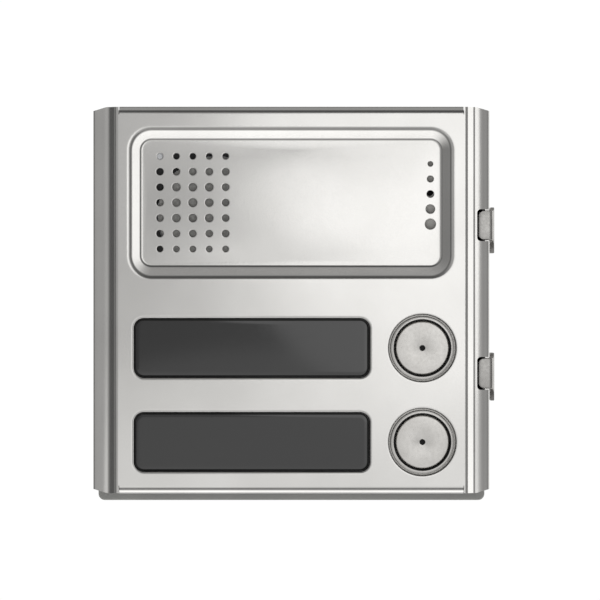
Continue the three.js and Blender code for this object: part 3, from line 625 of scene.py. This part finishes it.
# %% The plate, skin by skin
def flat_faces(shell):
    """Both skins of the flat, and of the tray floor, as polygons with the rims as their holes."""
    tray_back, tray_back_radii = behind(TRAY_WALL, TRAY_RADII, SHEET)
    floor, opening = rim(shell, TRAY, filleted(TRAY_WALL, TRAY_RADII, 8))
    floor_back, opening_back = rim(shell, TRAY, filleted(tray_back, tray_back_radii, 8))
    front, back = [outline(0), opening], [outline(SHEET), opening_back]
    for z in WINDOW_ROWS.values():
        edge = rim(shell, rounded_rectangle(WINDOW_X, z, *WINDOW), punched(0.7, 0.45, 0, 0.3))
        front.append(edge[0])
        back.append(edge[1])
    for x, z in BUTTONS.values():
        edge = rim(shell, circle(x, z, HOLE_RADIUS, 96), punched(0.5, 0.15, 0, 0.2))
        front.append(edge[0])
        back.append(edge[1])
    shell.fill(*front).fill(*back)
    front, back = [floor], [floor_back]
    for x, z, radius in sound_holes():
        edge = rim(shell, circle(x, z, radius, 28), punched(0.26, 0.12, TRAY_DEPTH, 0.15))
        front.append(edge[0])
        back.append(edge[1])
    floor_fill(shell, front)
    floor_fill(shell, back)


# %% Filling the tray floor
def past_corner(points, low, high, radius):
    """Distance of each point from the centre of the nearest rounded corner of a box, counted only
    beyond the straight parts: |points - middle| - (half size - radius), and never below zero."""
    beyond = np.abs(points - (low + high) / 2) - ((high - low) / 2 - radius)
    return np.linalg.norm(np.maximum(beyond, 0), axis=1)


def loop_edges(loops):
    """Index pairs that join each loop's points in a ring, when the loops are stacked."""
    sizes = np.array([len(loop) for loop in loops])
    starts = np.cumsum(sizes) - sizes
    rings = [first + np.arange(size) for first, size in zip(starts, sizes)]
    return np.vstack([np.stack([ring, np.roll(ring, -1)], axis=1) for ring in rings])


def grid_between(low, high, centres, spans, spacing=1.6, clear=0.35):
    """A regular grid of points inside the floor, away from its edge and from every hole."""
    x = np.arange(low[0] + 1, high[0] - 0.6, spacing)
    z = np.arange(low[1] + 1, high[1] - 0.6, spacing)
    points = np.stack([axis.ravel() for axis in np.meshgrid(x, z)], axis=1)
    away = np.linalg.norm(points[:, None] - centres[None], axis=2) > spans + clear
    return points[away.all(axis=1) & (past_corner(points, low, high, 3.2) < 2.6)]


def floor_fill(shell, loops):
    """Fills the tray floor with a constrained Delaunay triangulation: the loops are kept as edges,
    a regular grid of extra points lies between them, and triangles inside the holes or outside the
    first loop are dropped. The grid gives the floor enough points to be crowned."""
    flat = np.vstack(loops)
    low, high = loops[0].min(axis=0)[[0, 2]], loops[0].max(axis=0)[[0, 2]]
    centres = np.stack([loop.mean(axis=0)[[0, 2]] for loop in loops[1:]])
    spans = np.array([np.ptp(loop[:, 0]) / 2 for loop in loops[1:]])
    points = np.vstack([flat[:, [0, 2]], grid_between(low, high, centres, spans)])
    made = delaunay_2d_cdt([Vector(p) for p in points], loop_edges(loops).tolist(), [], 0, 1e-7)
    place = np.array([tuple(v) for v in made[0]])
    triangles = np.array(made[2])
    middles = place[triangles].mean(axis=1)
    in_hole = (np.linalg.norm(middles[:, None] - centres[None], axis=2) < spans * 0.995).any(axis=1)
    corner = TRAY_CORNER + TRAY_WALL[0][0]
    outside = past_corner(middles, low, high, corner) > corner * 0.999
    shell.points.append(np.stack([place[:, 0], np.full(len(place), flat[0, 1]), place[:, 1]], axis=1))
    shell.faces += (triangles[~(in_hole | outside)] + shell.count).tolist()
    shell.count += len(place)


# %% The crown of the tray floor
CROWN = 0.62
CROWN_HALF = (36.8, 15.15)


def crowned(points):
    """A pressed tray floor springs back into a slight dome: depth is less by
    crown x (1 - u^2) x (1 - v^2), where u and v run from -1 to 1 across the floor."""
    u, v = ((points[:, [0, 2]] - TRAY_CENTRE) / CROWN_HALF).T
    lift = CROWN * np.clip(1 - u ** 2, 0, 1) * np.clip(1 - v ** 2, 0, 1)
    deep = points[:, 1] > TRAY_DEPTH - 0.05
    inside = (np.abs(u) < 1) & (np.abs(v) < 1)
    return points - np.outer(lift * (deep & inside), [0, 1, 0])


# %% The whole plate
FLANGE_END, TRIM, TRIM_FROM = 48.3, 0.30, 46.3


def side_rows(across):
    """Rows of a long flange: its end is trimmed back by a share of the distance past where the trim
    begins, and close rows stand just outside each notch."""
    end = FLANGE_END - TRIM * np.maximum(0, across - TRIM_FROM)
    return np.vstack([-end, ROWS[:, None] * np.ones_like(end), end])


def plate():
    """The whole plate as one shell: flats, rims, four flanges and the walls of the corner slits."""
    shell = Shell()
    flat_faces(shell)
    for side in (1, -1):
        flange(shell, SIDE, SIDE_RADII, side_rows, lambda a, d, r: np.stack([side * a, d, r], axis=-1))
        flange(
            shell, FOLD, FOLD_RADII,
            lambda a: np.outer([-SLIT, SLIT], np.ones_like(a)),
            lambda a, d, r: np.stack([r, d, side * a], axis=-1),
        )
    for x, z in ((1, 1), (-1, 1), (-1, -1), (1, -1)):
        across = np.array([[FLAT[0], FLAT[0]], [SLIT, SLIT]]) * x
        depth = np.array([[0, SHEET], [0, SHEET]])
        shell.grid(np.stack([across, depth, np.full((2, 2), z * FLAT[1])], axis=-1))
    shell.points = [crowned(points) for points in shell.points]
    return shell


# %% [markdown]
# Two notches in the right shoulder let the hooks through. A notch has rounded inner corners, so it
# is cut as the tool cuts it: a rounded block is subtracted with a Boolean modifier, which is applied
# at once. The flanges have a few extra rows on both sides of each notch, so what the cut does to the
# shading stays between those rows, and the long bends keep clean highlights.

# %% Cutting the notches
NOTCH_DEPTHS = (1.5, 6.6)
NOTCH_CORNER = 0.9
SHOULDER_X = 50.0


def subtract(piece, cutter):
    """Applies a Boolean difference and removes the cutter."""
    change = piece.modifiers.new("notch", "BOOLEAN")
    change.operation = "DIFFERENCE"
    change.solver = "MANIFOLD"
    change.object = cutter
    bpy.context.view_layer.update()
    shaped = bpy.data.meshes.new_from_object(piece.evaluated_get(bpy.context.evaluated_depsgraph_get()))
    piece.modifiers.clear()
    piece.data = shaped
    bpy.data.objects.remove(cutter)


def notch_block(low_z, high_z):
    """A block that reaches 3.5 to either side of the shoulder's edge, with rounded corners."""
    block = Shell()
    path = rounded_rectangle(SHOULDER_X, (low_z + high_z) / 2, 7.0, high_z - low_z, NOTCH_CORNER, 5)
    surface = carried(path, [(0, depth) for depth in NOTCH_DEPTHS])
    block.grid(surface, wrap=True).fill(surface[0]).fill(surface[1])
    mesh = block.mesh("notch_block")[0]
    cutter = bpy.data.objects.new("notch_block", mesh)
    bpy.context.collection.objects.link(cutter)
    return cutter


def notched_plate():
    """Weld the plate, cut both notches and register it in place of the engineering plate."""
    mesh, open_edges = plate().mesh("pressed_plate")
    holder = bpy.data.objects.new("plate_blank", mesh)
    bpy.context.collection.objects.link(holder)
    for low_z, high_z in NOTCHES.values():
        subtract(holder, notch_block(low_z, high_z))
    shaped = holder.data
    bpy.data.objects.remove(holder)
    return register(shaped, "pressed_plate", "module", "satin_stainless", ["fascia"], open_edges, crease=40)


notched_plate()

# %% [markdown]
# ## Bell buttons
#
# A bell button is turned from bar: a bezel with a proud rim and a flange that the plate clamps, and a
# cup-shaped cap that slides in it, with a chamfered face and a pin hole where the finger lands. A
# thin black ring lines the bezel and shows as a dark line round the cap: it stands for a rubber
# gasket and also paints the shade of the narrow gap there.
#
# The way to model turned work is to turn it. A (radius, depth) section is spun about the button's
# axis, and it runs all the way round, inside as well, so the wall has its true thickness. A cylinder
# with a bevel would be quicker, but each corner here carries the small radius a real tool leaves,
# since that is what catches the light.

# %% Turned sections
# Each section is a closed list of (radius, depth) corners that starts and ends in the middle of a
# straight wall, with a radius for every corner in between.
BEZEL = [(7.2, 3.0), (7.2, -0.15), (7.95, -0.05), (7.95, 2.2), (10.4, 2.2),
         (10.4, 3.2), (8.1, 3.2), (8.1, 5.5), (7.2, 5.5), (7.2, 3.0)]
BEZEL_RADII = [0.08, 0.12, 0.1, 0.15, 0.15, 0.1, 0.15, 0.1]
CAP = [(0.7, 0.8), (0.7, 0.0), (6.4, 0.0), (6.6, 0.2), (6.6, 5.8), (7.9, 5.8), (7.9, 6.6),
       (5.4, 6.6), (5.4, 1.5), (0.7, 1.5), (0.7, 0.8)]
CAP_RADII = [0.08, 0.12, 0.12, 0.1, 0.15, 0.15, 0.15, 0.3, 0.1]
# The liner is a black ring in the gap between cap and bezel: it paints the shade of that narrow gap, and
# stands for a rubber gasket as well.
LINER_GAP_SHADE = [(6.88, 3.0), (6.88, 0.35), (7.3, 0.35), (7.3, 5.3), (6.88, 5.3), (6.88, 3.0)]
LINER_GAP_SHADE_RADII = [0.1, 0.05, 0.05, 0.1]


def turned_ring(x, z, corners, radii, sides=96):
    """A closed section spun about the depth axis through (x, z)."""
    return Shell().grid(spun(filleted(corners, radii, 4), x, z, sides), wrap=True)


TURNED = {
    "bell_bezel_": ("module", "turned_stainless", BEZEL, BEZEL_RADII, "button_bezel_"),
    "bell_cap_": ("{}_button", "turned_stainless", CAP, CAP_RADII, "button_cap_"),
    # The liner ring darkens the gap round the cap: painted shade there, as well as a gasket.
    "bell_liner_": ("module", "black_rubber", LINER_GAP_SHADE, LINER_GAP_SHADE_RADII, None),
}
for row, (x, z) in BUTTONS.items():
    for name, (body, slot, section, radii, node) in TURNED.items():
        stands_for = [node + row] if node else []
        turned_ring(x, z, section, radii).piece(name + row, body.format(row), slot, stands_for)

# %% [markdown]
# Under each cap sits a coil spring. Its wire is a tube carried along a helix: the point at turn t is
# on a circle, and its depth follows t, but slower near both ends, so that the end turns close up and
# give a flat seat.

# %% The springs
def coil(x, z, front, back, radius, wire, turns, steps=200, sides=12):
    """Wire tube along a helix. Centre = (radius cos a, depth, radius sin a) with a = 2 pi turns t;
    depth eases from front to back; the tube's ring lies in the radial and axial directions."""
    t = np.linspace(0, 1, steps)
    eased = np.clip((t * turns - 0.7) / (turns - 1.4), 0, 1)
    eased = 0.85 * eased + 0.15 * t
    angle = 2 * math.pi * turns * t
    outward = np.stack([np.cos(angle), 0 * t, np.sin(angle)], axis=1)
    depth = front + wire + (back - front - 2 * wire) * eased
    centre = outward * radius + np.stack([x + 0 * t, depth, z + 0 * t], axis=1)
    around = np.linspace(0, 2 * math.pi, sides, endpoint=False)
    ring = np.cos(around)[None, :, None] * outward[:, None]
    ring = ring + np.sin(around)[None, :, None] * np.array([0, 1.0, 0])
    tube = centre[:, None] + wire * ring
    ends = [np.repeat(centre[i][None, None], sides, axis=1) for i in (0, -1)]
    return np.concatenate([ends[0], tube, ends[1]])


for row in BUTTONS:
    low, high = reach("button_spring_" + row)
    x, _, z = middle("button_spring_" + row)
    wound = Shell().grid(coil(x, z, low[1], high[1], radius=4.85, wire=0.3, turns=4.6), wrap=True)
    piece = wound.piece("return_spring_" + row, "module", "spring_steel", ["button_spring_" + row])
    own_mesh(piece)

# %% [markdown]
# ## Name windows
#
# A name window is one moulding in smoked plastic: a pane that fills the opening almost flush, and a
# flange behind it that the plate holds. The pane's front edge is rounded, and a thin dark line of
# gasket shows round it.

# %% The smoked panes
PANE = [(-1.2, 0.8), (0, 0.8), (0, 2.1), (2.15, 2.1), (2.15, 3.4), (0.8, 3.4)]
PANE_RADII = [0.35, 0.1, 0.2, 0.2]
PANE_GAP = 0.35
for row, z in WINDOW_ROWS.items():
    edge = rounded_rectangle(WINDOW_X, z, *(WINDOW - np.array([2, 2, 1]) * PANE_GAP))
    surface = carried(edge, filleted(PANE, PANE_RADII, 6))
    pane = Shell().grid(surface, wrap=True).fill(surface[0]).fill(surface[-1])
    pane.piece("smoked_pane_" + row, "module", "smoked_window", ["name_window_" + row])

# %% [markdown]
# ## Hooks
#
# The module hangs in a wall frame by two steel hooks on its right edge. Each is a strip bent twice:
# a tab that shows in the notch of the shoulder, a longer leg beside the skirt, and a foot that is
# screwed down behind the rim. A strip is swept along its bent line, and its height changes along
# the line, because the leg is wider than the tab. The free ends are rounded by a quarter circle.

# %% The bent line of a hook
HOOK_LINE = [(46.8, 5.2), (50.4, 5.2), (50.4, 17.1), (44.4, 17.1)]
HOOK_BENDS = [0.65, 0.65]
HOOKS = {
    "upper": dict(tab=(15.05, 22.45), leg=(11.75, 23.25)),
    "lower": dict(tab=(-22.2, -14.55), leg=(-25.25, -13.25)),
}


def strip_stations(corner):
    """Distances along the bent line, closer together within one corner radius of each end, with the
    points there, the unit normals to the left, and the line's length."""
    line = filleted(HOOK_LINE, HOOK_BENDS, 8)
    run = np.concatenate([[0], np.cumsum(np.linalg.norm(np.diff(line, axis=0), axis=1))])
    quarter = corner * (1 - np.cos(np.linspace(0, math.pi / 2, 9)))
    s = np.unique(np.concatenate([np.linspace(0, run[-1], 90), quarter, run[-1] - quarter]))
    s = s[np.concatenate([[True], np.diff(s) > 0.02])]
    points = np.stack([np.interp(s, run, line[:, i]) for i in (0, 1)], axis=1)
    along = np.gradient(points, s, axis=0)
    along /= np.linalg.norm(along, axis=1)[:, None]
    return s, points, np.stack([-along[:, 1], along[:, 0]], axis=1), run[-1]


# %% The bent strips
def strip_heights(s, length, tab, leg, corner):
    """Low and high edge along the strip: the tab's height on the tab and the foot and the leg's on
    the leg, by a smooth step 3 w^2 - 2 w^3 over 0.9. Near each free end the height shrinks by
    corner - sqrt(corner^2 - (corner - s)^2), a quarter circle."""
    w = np.clip((s - 3.4) / 0.9, 0, 1) * np.clip((length - 5.6 - s) / 0.9, 0, 1)
    w = w ** 2 * (3 - 2 * w)
    end = np.clip(corner - np.minimum(s, length - s), 0, corner)
    nip = corner - np.sqrt(corner ** 2 - end ** 2)
    return tab[0] + (leg[0] - tab[0]) * w + nip, tab[1] + (leg[1] - tab[1]) * w - nip


def bent_strip(tab, leg, thick=1.0, corner=1.6, soft=0.18):
    """A strip with its middle line on the bent path. Its section is a rectangle, thick by the
    height there, whose four corners are quarter circles of radius soft."""
    s, points, left, length = strip_stations(corner)
    low, high = strip_heights(s, length, tab, leg, corner)
    ring, turn = rounded_rectangle(0, 0, 2, 2, 0.5, 4)
    sides, ends = np.sign(ring[:, 0]), np.sign(ring[:, 1])
    across = sides * (thick / 2 - soft) + soft * turn[:, 0]
    half = (high - low)[:, None] / 2 - soft
    z = (low + high)[:, None] / 2 + ends * half + soft * turn[:, 1]
    flat = points[:, None] + across[None, :, None] * left[:, None]
    section = np.stack([flat[..., 0], flat[..., 1], z], axis=-1)
    return Shell().grid(section, wrap=True).fill(section[0]).fill(section[-1])


for name, sizes in HOOKS.items():
    bent_strip(**sizes).piece("hook_" + name, "module", "spring_steel", ["side_hook_" + name])

# %% [markdown]
# ## Screws
#
# Small pan-head screws hold the housing, the hooks and the loudspeaker. A head is a turned dome, and
# its cross recess is a pair of tapered bars subtracted from it; a slotted screw has one bar. Heads
# that face the back are drawn on the back side by measuring depth the other way.

# %% The driver recess
def recess_bars(x, z, front, facing, deep, length, width, crossed, turn):
    """One or two bars through the head, as cutters: boxes length x width, turned about the axis. The
    bars of a cross taper to 0.55 of their length at the bottom."""
    bars = []
    for quarter in range(2 if crossed else 1):
        angle = turn + quarter * math.pi / 2
        across = np.array([[math.cos(angle), math.sin(angle)], [-math.sin(angle), math.cos(angle)]])
        corners = np.array([[-1, -1], [1, -1], [1, 1], [-1, 1]]) * np.array([length, width]) / 2
        top = corners @ across + np.array([x, z])
        foot = (corners * np.array([0.55 if crossed else 1, 1])) @ across + np.array([x, z])
        loops = [np.stack([flat[:, 0], np.full(4, depth), flat[:, 1]], axis=1)
                 for flat, depth in ((top, front - 0.3 * facing), (foot, front + deep * facing))]
        mesh = Shell().grid(np.stack(loops), wrap=True).fill(loops[0]).fill(loops[1]).mesh("bar")[0]
        bar = bpy.data.objects.new("bar", mesh)
        bpy.context.collection.objects.link(bar)
        bars.append(bar)
    return bars


# %% Turned screws
def screw(name, stands_for, profile, radii, recess, body="module", slot="zinc_plate", sides=48):
    """A closed section spun about the middle of the node's box, with its recess cut and applied.
    The profile starts and ends on the axis; recess gives deep, length, width, crossed and turn."""
    x, _, z = middle(stands_for)
    section = filleted(profile, radii, 5)
    mesh, open_edges = Shell().grid(spun(section, x, z, sides), wrap=True).mesh(name)
    holder = bpy.data.objects.new(name + "_blank", mesh)
    bpy.context.collection.objects.link(holder)
    facing = math.copysign(1, profile[-1][1] - profile[0][1])
    for bar in recess_bars(x, z, front=profile[0][1], facing=facing, **recess):
        subtract(holder, bar)
    shaped = holder.data
    bpy.data.objects.remove(holder)
    return register(shaped, name, body, slot, [stands_for], open_edges, crease=30)


CASE_SCREW = [(0, 29.95), (1.5, 29.95), (2.6, 29.55), (2.6, 29.2),
              (1.1, 29.2), (1.1, 18.9), (0.6, 18.5), (0, 18.5)]
HOOK_SCREW = [(0, 19.2), (1.1, 19.2), (2.0, 18.75), (2.0, 17.9),
              (0.9, 17.9), (0.9, 15.3), (0.5, 15.0), (0, 15.0)]
CLAMP_SCREW = [(0, 28.9), (1.25, 28.9), (1.6, 28.6), (1.6, 26.5), (0, 26.5)]
SHANK_RADII = [0.1, 0.1, 0.1, 0.1]
for number, degrees in enumerate((12, 75, 38, 101), 1):
    recess = dict(deep=0.9, length=2.3, width=0.55, crossed=True, turn=math.radians(degrees))
    screw(f"case_screw_{number}", f"housing_screw_{number}", CASE_SCREW, [0.6, 0.3] + SHANK_RADII, recess)
for name, turn in (("upper", 0.5), ("lower", 1.2)):
    recess = dict(deep=0.7, length=1.9, width=0.45, crossed=True, turn=turn)
    screw("hook_fixing_" + name, "hook_screw_" + name, HOOK_SCREW, [0.4, 0.3] + SHANK_RADII, recess)
for number in range(1, 5):
    recess = dict(deep=0.6, length=4.0, width=0.5, crossed=False, turn=0.2 + 0.5 * number)
    screw(f"clamp_screw_{number}", f"terminal_screw_{number}", CLAMP_SCREW, [0.15, 0.15, 0.1], recess)

# %% [markdown]
# The two volume trimmers turn with a screwdriver. Each rotor is a white disc with one wide slot
# across it, and the slot shows where it points.

# %% Trimmer rotors
ROTOR = [(0, 29.6), (2.0, 29.6), (2.3, 29.3), (2.3, 26.3), (0, 26.3)]
for name in ("speaker", "microphone"):
    recess = dict(deep=1.0, length=5.0, width=0.7, crossed=False, turn=0.0)
    screw("volume_rotor_" + name, name + "_trimmer_rotor", ROTOR, [0.2, 0.2, 0.1], recess,
          body=name + "_volume_rotor", slot="white_moulding", sides=64)

# %% [markdown]
# ## The moulded housing
#
# Behind the plate sits a tub in grey plastic. Its rim carries the plate's skirt and reaches a little
# lower than the plate; its back has openings for the terminals, the link socket, the two trimmers
# and four sunk screws. Mouldings are built like the plate, from rims and flats: the tub's wall is a
# profile carried round a rounded rectangle, and the rim and the back are polygons whose holes have
# their own rims. Shallow round marks of the ejector pins and a plain recessed field for a label
# are left in the back, since a large bare moulded face is never quite plain.

# %% Rims of the moulding
CASE = rounded_rectangle(0, 0, 87.2, 93.8, 3.0, 10)
RIM_FRONT, RIM_BACK, RIM_TOP, RIM_BOTTOM = 14.3, 16.3, 47.9, -50.5
FLOOR, BACK, MOUTH, WALL = 28.0, 30.0, 8.7, 1.8


def through(path, soft=0.3):
    """An opening from the back face to the inside floor, with its outer edge rounded."""
    return path, filleted([(0.8, BACK), (0, BACK), (0, FLOOR), (0.4, FLOOR)], [soft, 0.05], 4)


def sunk(x, z, head=2.9, deep=1.1, hole=1.5):
    """A counterbored screw hole: a wide bore for the head, a seat, and a narrow bore."""
    corners = [(head + 0.25, BACK), (head, BACK), (head, BACK - deep),
               (hole, BACK - deep), (hole, FLOOR), (hole + 0.3, FLOOR)]
    return circle(x, z, 0.0, 40), filleted(corners, [0.2, 0.1, 0.1, 0.05], 4)


def dimple(path, deep, slope=0.25):
    """A shallow recess in the back face: lip, draught wall, and a strip of its flat floor."""
    corners = [(0.5, BACK), (0, BACK), (-slope, BACK - deep), (-slope - 0.6, BACK - deep)]
    return path, filleted(corners, [0.12, 0.12], 3)


# %% Openings, screw wells and marks
TERMINALS = (-14.0, -36.0)
SOCKET = (0.0, 36.0)
TRIMMERS = [(12.0, -36.0), (26.0, -36.0)]
OPENINGS = [
    through(rounded_rectangle(*TERMINALS, 24.8, 11.8, 0.8, 6)),
    through(rounded_rectangle(*SOCKET, 18.8, 7.8, 0.8, 6)),
]
OPENINGS += [through(circle(x, z, 3.0, 48)) for x, z in TRIMMERS]
OPENINGS += [sunk(x, z) for x in (-39.0, 39.0) for z in (-42.3, 42.3)]
MARKS = [dimple(rounded_rectangle(0.0, 2.0, 60.0, 38.0, 2.0, 6), 0.35)]
MARKS += [dimple(circle(x, z, 2.6, 40), 0.18) for x in (-36.0, 36.0) for z in (-22.0, 28.0)]
HOOK_HOLES = [(46.7, 18.75), (46.7, -18.375)]
print(len(OPENINGS), "openings and", len(MARKS), "shallow marks")


# %% The housing as one closed moulding
def tub_and_rim(shell):
    """The tub's inner and outer walls, the rim's edge and its two flats. Returns the loops that the
    back face and the inside floor start from."""
    lip = [(0.5, RIM_FRONT), (0, RIM_FRONT), (0, MOUTH),
           (-WALL, MOUTH), (-WALL, FLOOR), (-WALL - 0.6, FLOOR)]
    lip_front, floor_edge = rim(shell, CASE, filleted(lip, [0.15, 0.25, 0.25, 0.6], 5))
    skirt = [(0.9, RIM_BACK), (0, RIM_BACK), (0, BACK), (-1.0, BACK)]
    skirt_top, back_edge = rim(shell, CASE, filleted(skirt, [0.5, 0.8], 7))
    frame_path = rounded_rectangle(0, (RIM_TOP + RIM_BOTTOM) / 2, 97.4, RIM_TOP - RIM_BOTTOM, 1.6, 8)
    edge = [(-0.7, RIM_FRONT), (0, RIM_FRONT), (0, RIM_BACK), (-0.7, RIM_BACK)]
    frame_front, frame_back = rim(shell, frame_path, filleted(edge, [0.3, 0.3], 5))
    fronts, backs = [frame_front, lip_front], [frame_back, skirt_top]
    for x, z in HOOK_HOLES:
        corners = [(1.5, RIM_FRONT), (1.2, RIM_FRONT), (1.2, RIM_BACK), (1.5, RIM_BACK)]
        hole = rim(shell, circle(x, z, 0.0, 28), filleted(corners, [0.08, 0.08], 3))
        fronts.append(hole[0])
        backs.append(hole[1])
    shell.fill(*fronts).fill(*backs)
    return back_edge, floor_edge


def housing():
    """Tub, rim and back: carried walls, and flats with every opening's rim as a hole."""
    shell = Shell()
    back_edge, floor_edge = tub_and_rim(shell)
    back, floor = [back_edge], [floor_edge]
    for path, profile in OPENINGS:
        outer, inner = rim(shell, path, profile)
        back.append(outer)
        floor.append(inner)
    for path, profile in MARKS:
        outer, bottom = rim(shell, path, profile)
        back.append(outer)
        shell.fill(bottom)
    shell.fill(*back).fill(*floor)
    return shell


housing().piece("moulded_housing", "module", "grey_housing", ["rear_housing"], crease=32)

# %% [markdown]
# The terminal block, link socket and their wells are mouldings too. A well is a hole with a floor:
# its rim goes down to the floor, and the floor is its own small flat.

# %% Blocks with wells
def block_with_wells(name, stands_for, slot, wells, edge=0.35):
    """A box with rounded edges whose back face holds wells. Each well is (path, floor depth)."""
    low, high = reach(stands_for)
    x, _, z = (low + high) / 2
    shell = Shell()
    outer = rounded_rectangle(x, z, high[0] - low[0], high[2] - low[2], 0.5, 5)
    corners = [(-0.45, high[1]), (0, high[1]), (0, low[1]), (-0.45, low[1])]
    side = filleted(corners, [edge, edge], 4)
    face, base = rim(shell, outer, side)
    shell.fill(base)
    faces = [face]
    for path, floor in wells:
        corners = [(0.2, high[1]), (0, high[1]), (0, floor), (-0.3, floor)]
        lip, bottom = rim(shell, path, filleted(corners, [0.12, 0.1], 3))
        faces.append(lip)
        shell.fill(bottom)
    shell.fill(*faces)
    return shell.piece(name, "module", slot, [stands_for], crease=32)


POLES = TERMINALS[0] + (np.arange(4) - 1.5) * 5.5
CLAMP_ROW, WIRE_ROW = -33.6, -39.0
clamp_wells = [(circle(x, CLAMP_ROW, 2.0, 36), 26.2) for x in POLES]
wire_wells = [(rounded_rectangle(x, WIRE_ROW, 3.0, 2.6, 0.3, 4), 26.0) for x in POLES]
block_with_wells("wire_terminals", "terminal_block", "green_terminal", clamp_wells + wire_wells)
socket_well = [(rounded_rectangle(*SOCKET, 14.6, 3.6, 0.4, 4), 25.6)]
block_with_wells("link_connector", "link_socket", "black_moulding", socket_well)

# %% Contact pins in the link socket
def pin(x, z, half, base, tip):
    """A square pin with a tapered tip, as a loft of three square loops."""
    depth = np.array([base, tip - 0.5, tip])
    width = np.array([half, half, half * 0.45])
    square = np.array([[-1, -1], [1, -1], [1, 1], [-1, 1]])
    loops = square[None] * width[:, None, None] + np.array([x, z])
    deep = np.broadcast_to(depth[:, None], loops.shape[:2])
    return np.stack([loops[..., 0], deep, loops[..., 1]], axis=-1)


shell = Shell()
for x in SOCKET[0] + np.arange(-4, 5) * 1.5:
    loft = pin(x, SOCKET[1], half=0.32, base=25.4, tip=28.4)
    shell.grid(loft, wrap=True).fill(loft[0]).fill(loft[-1])
shell.piece("link_pins", "module", "zinc_plate", crease=30, finish_name="tinned_brass")

# %% [markdown]
# ## The floor
#
# The module hangs in front of white, and a pale disc well below it stands for the table of the
# studio. It is kept out of reflections, because the room's own ramps already say what the steel
# sees.

# %% Floor
def floor_disc(radius, level, sides=96):
    """A disc of pale card: one ring of points at the radius, filled flat."""
    angle = np.arange(sides) * 2 * math.pi / sides
    points = np.stack([radius * np.cos(angle), radius * np.sin(angle), np.full(sides, level)], axis=1)
    mesh = bpy.data.meshes.new("floor")
    mesh.from_pydata(points.tolist(), [], [list(range(sides))])
    pale = finish("floor_card", (0.80, 0.80, 0.79), (0.84, 0.84, 0.83), (0.7, 0.8),
                  patch=6, grain=200, relief=0.02)
    shader = pale.node_tree.nodes["Principled BSDF"]
    shader.inputs["Emission Color"].default_value = (1.0, 1.0, 0.99, 1)
    shader.inputs["Emission Strength"].default_value = 0.45
    mesh.materials.append(pale)
    floor = bpy.data.objects.new("floor", mesh)
    floor.visible_glossy = False
    bpy.context.collection.objects.link(floor)
    return floor


floor_disc(1.2, -0.30)
print("floor 0.25 m below the module")
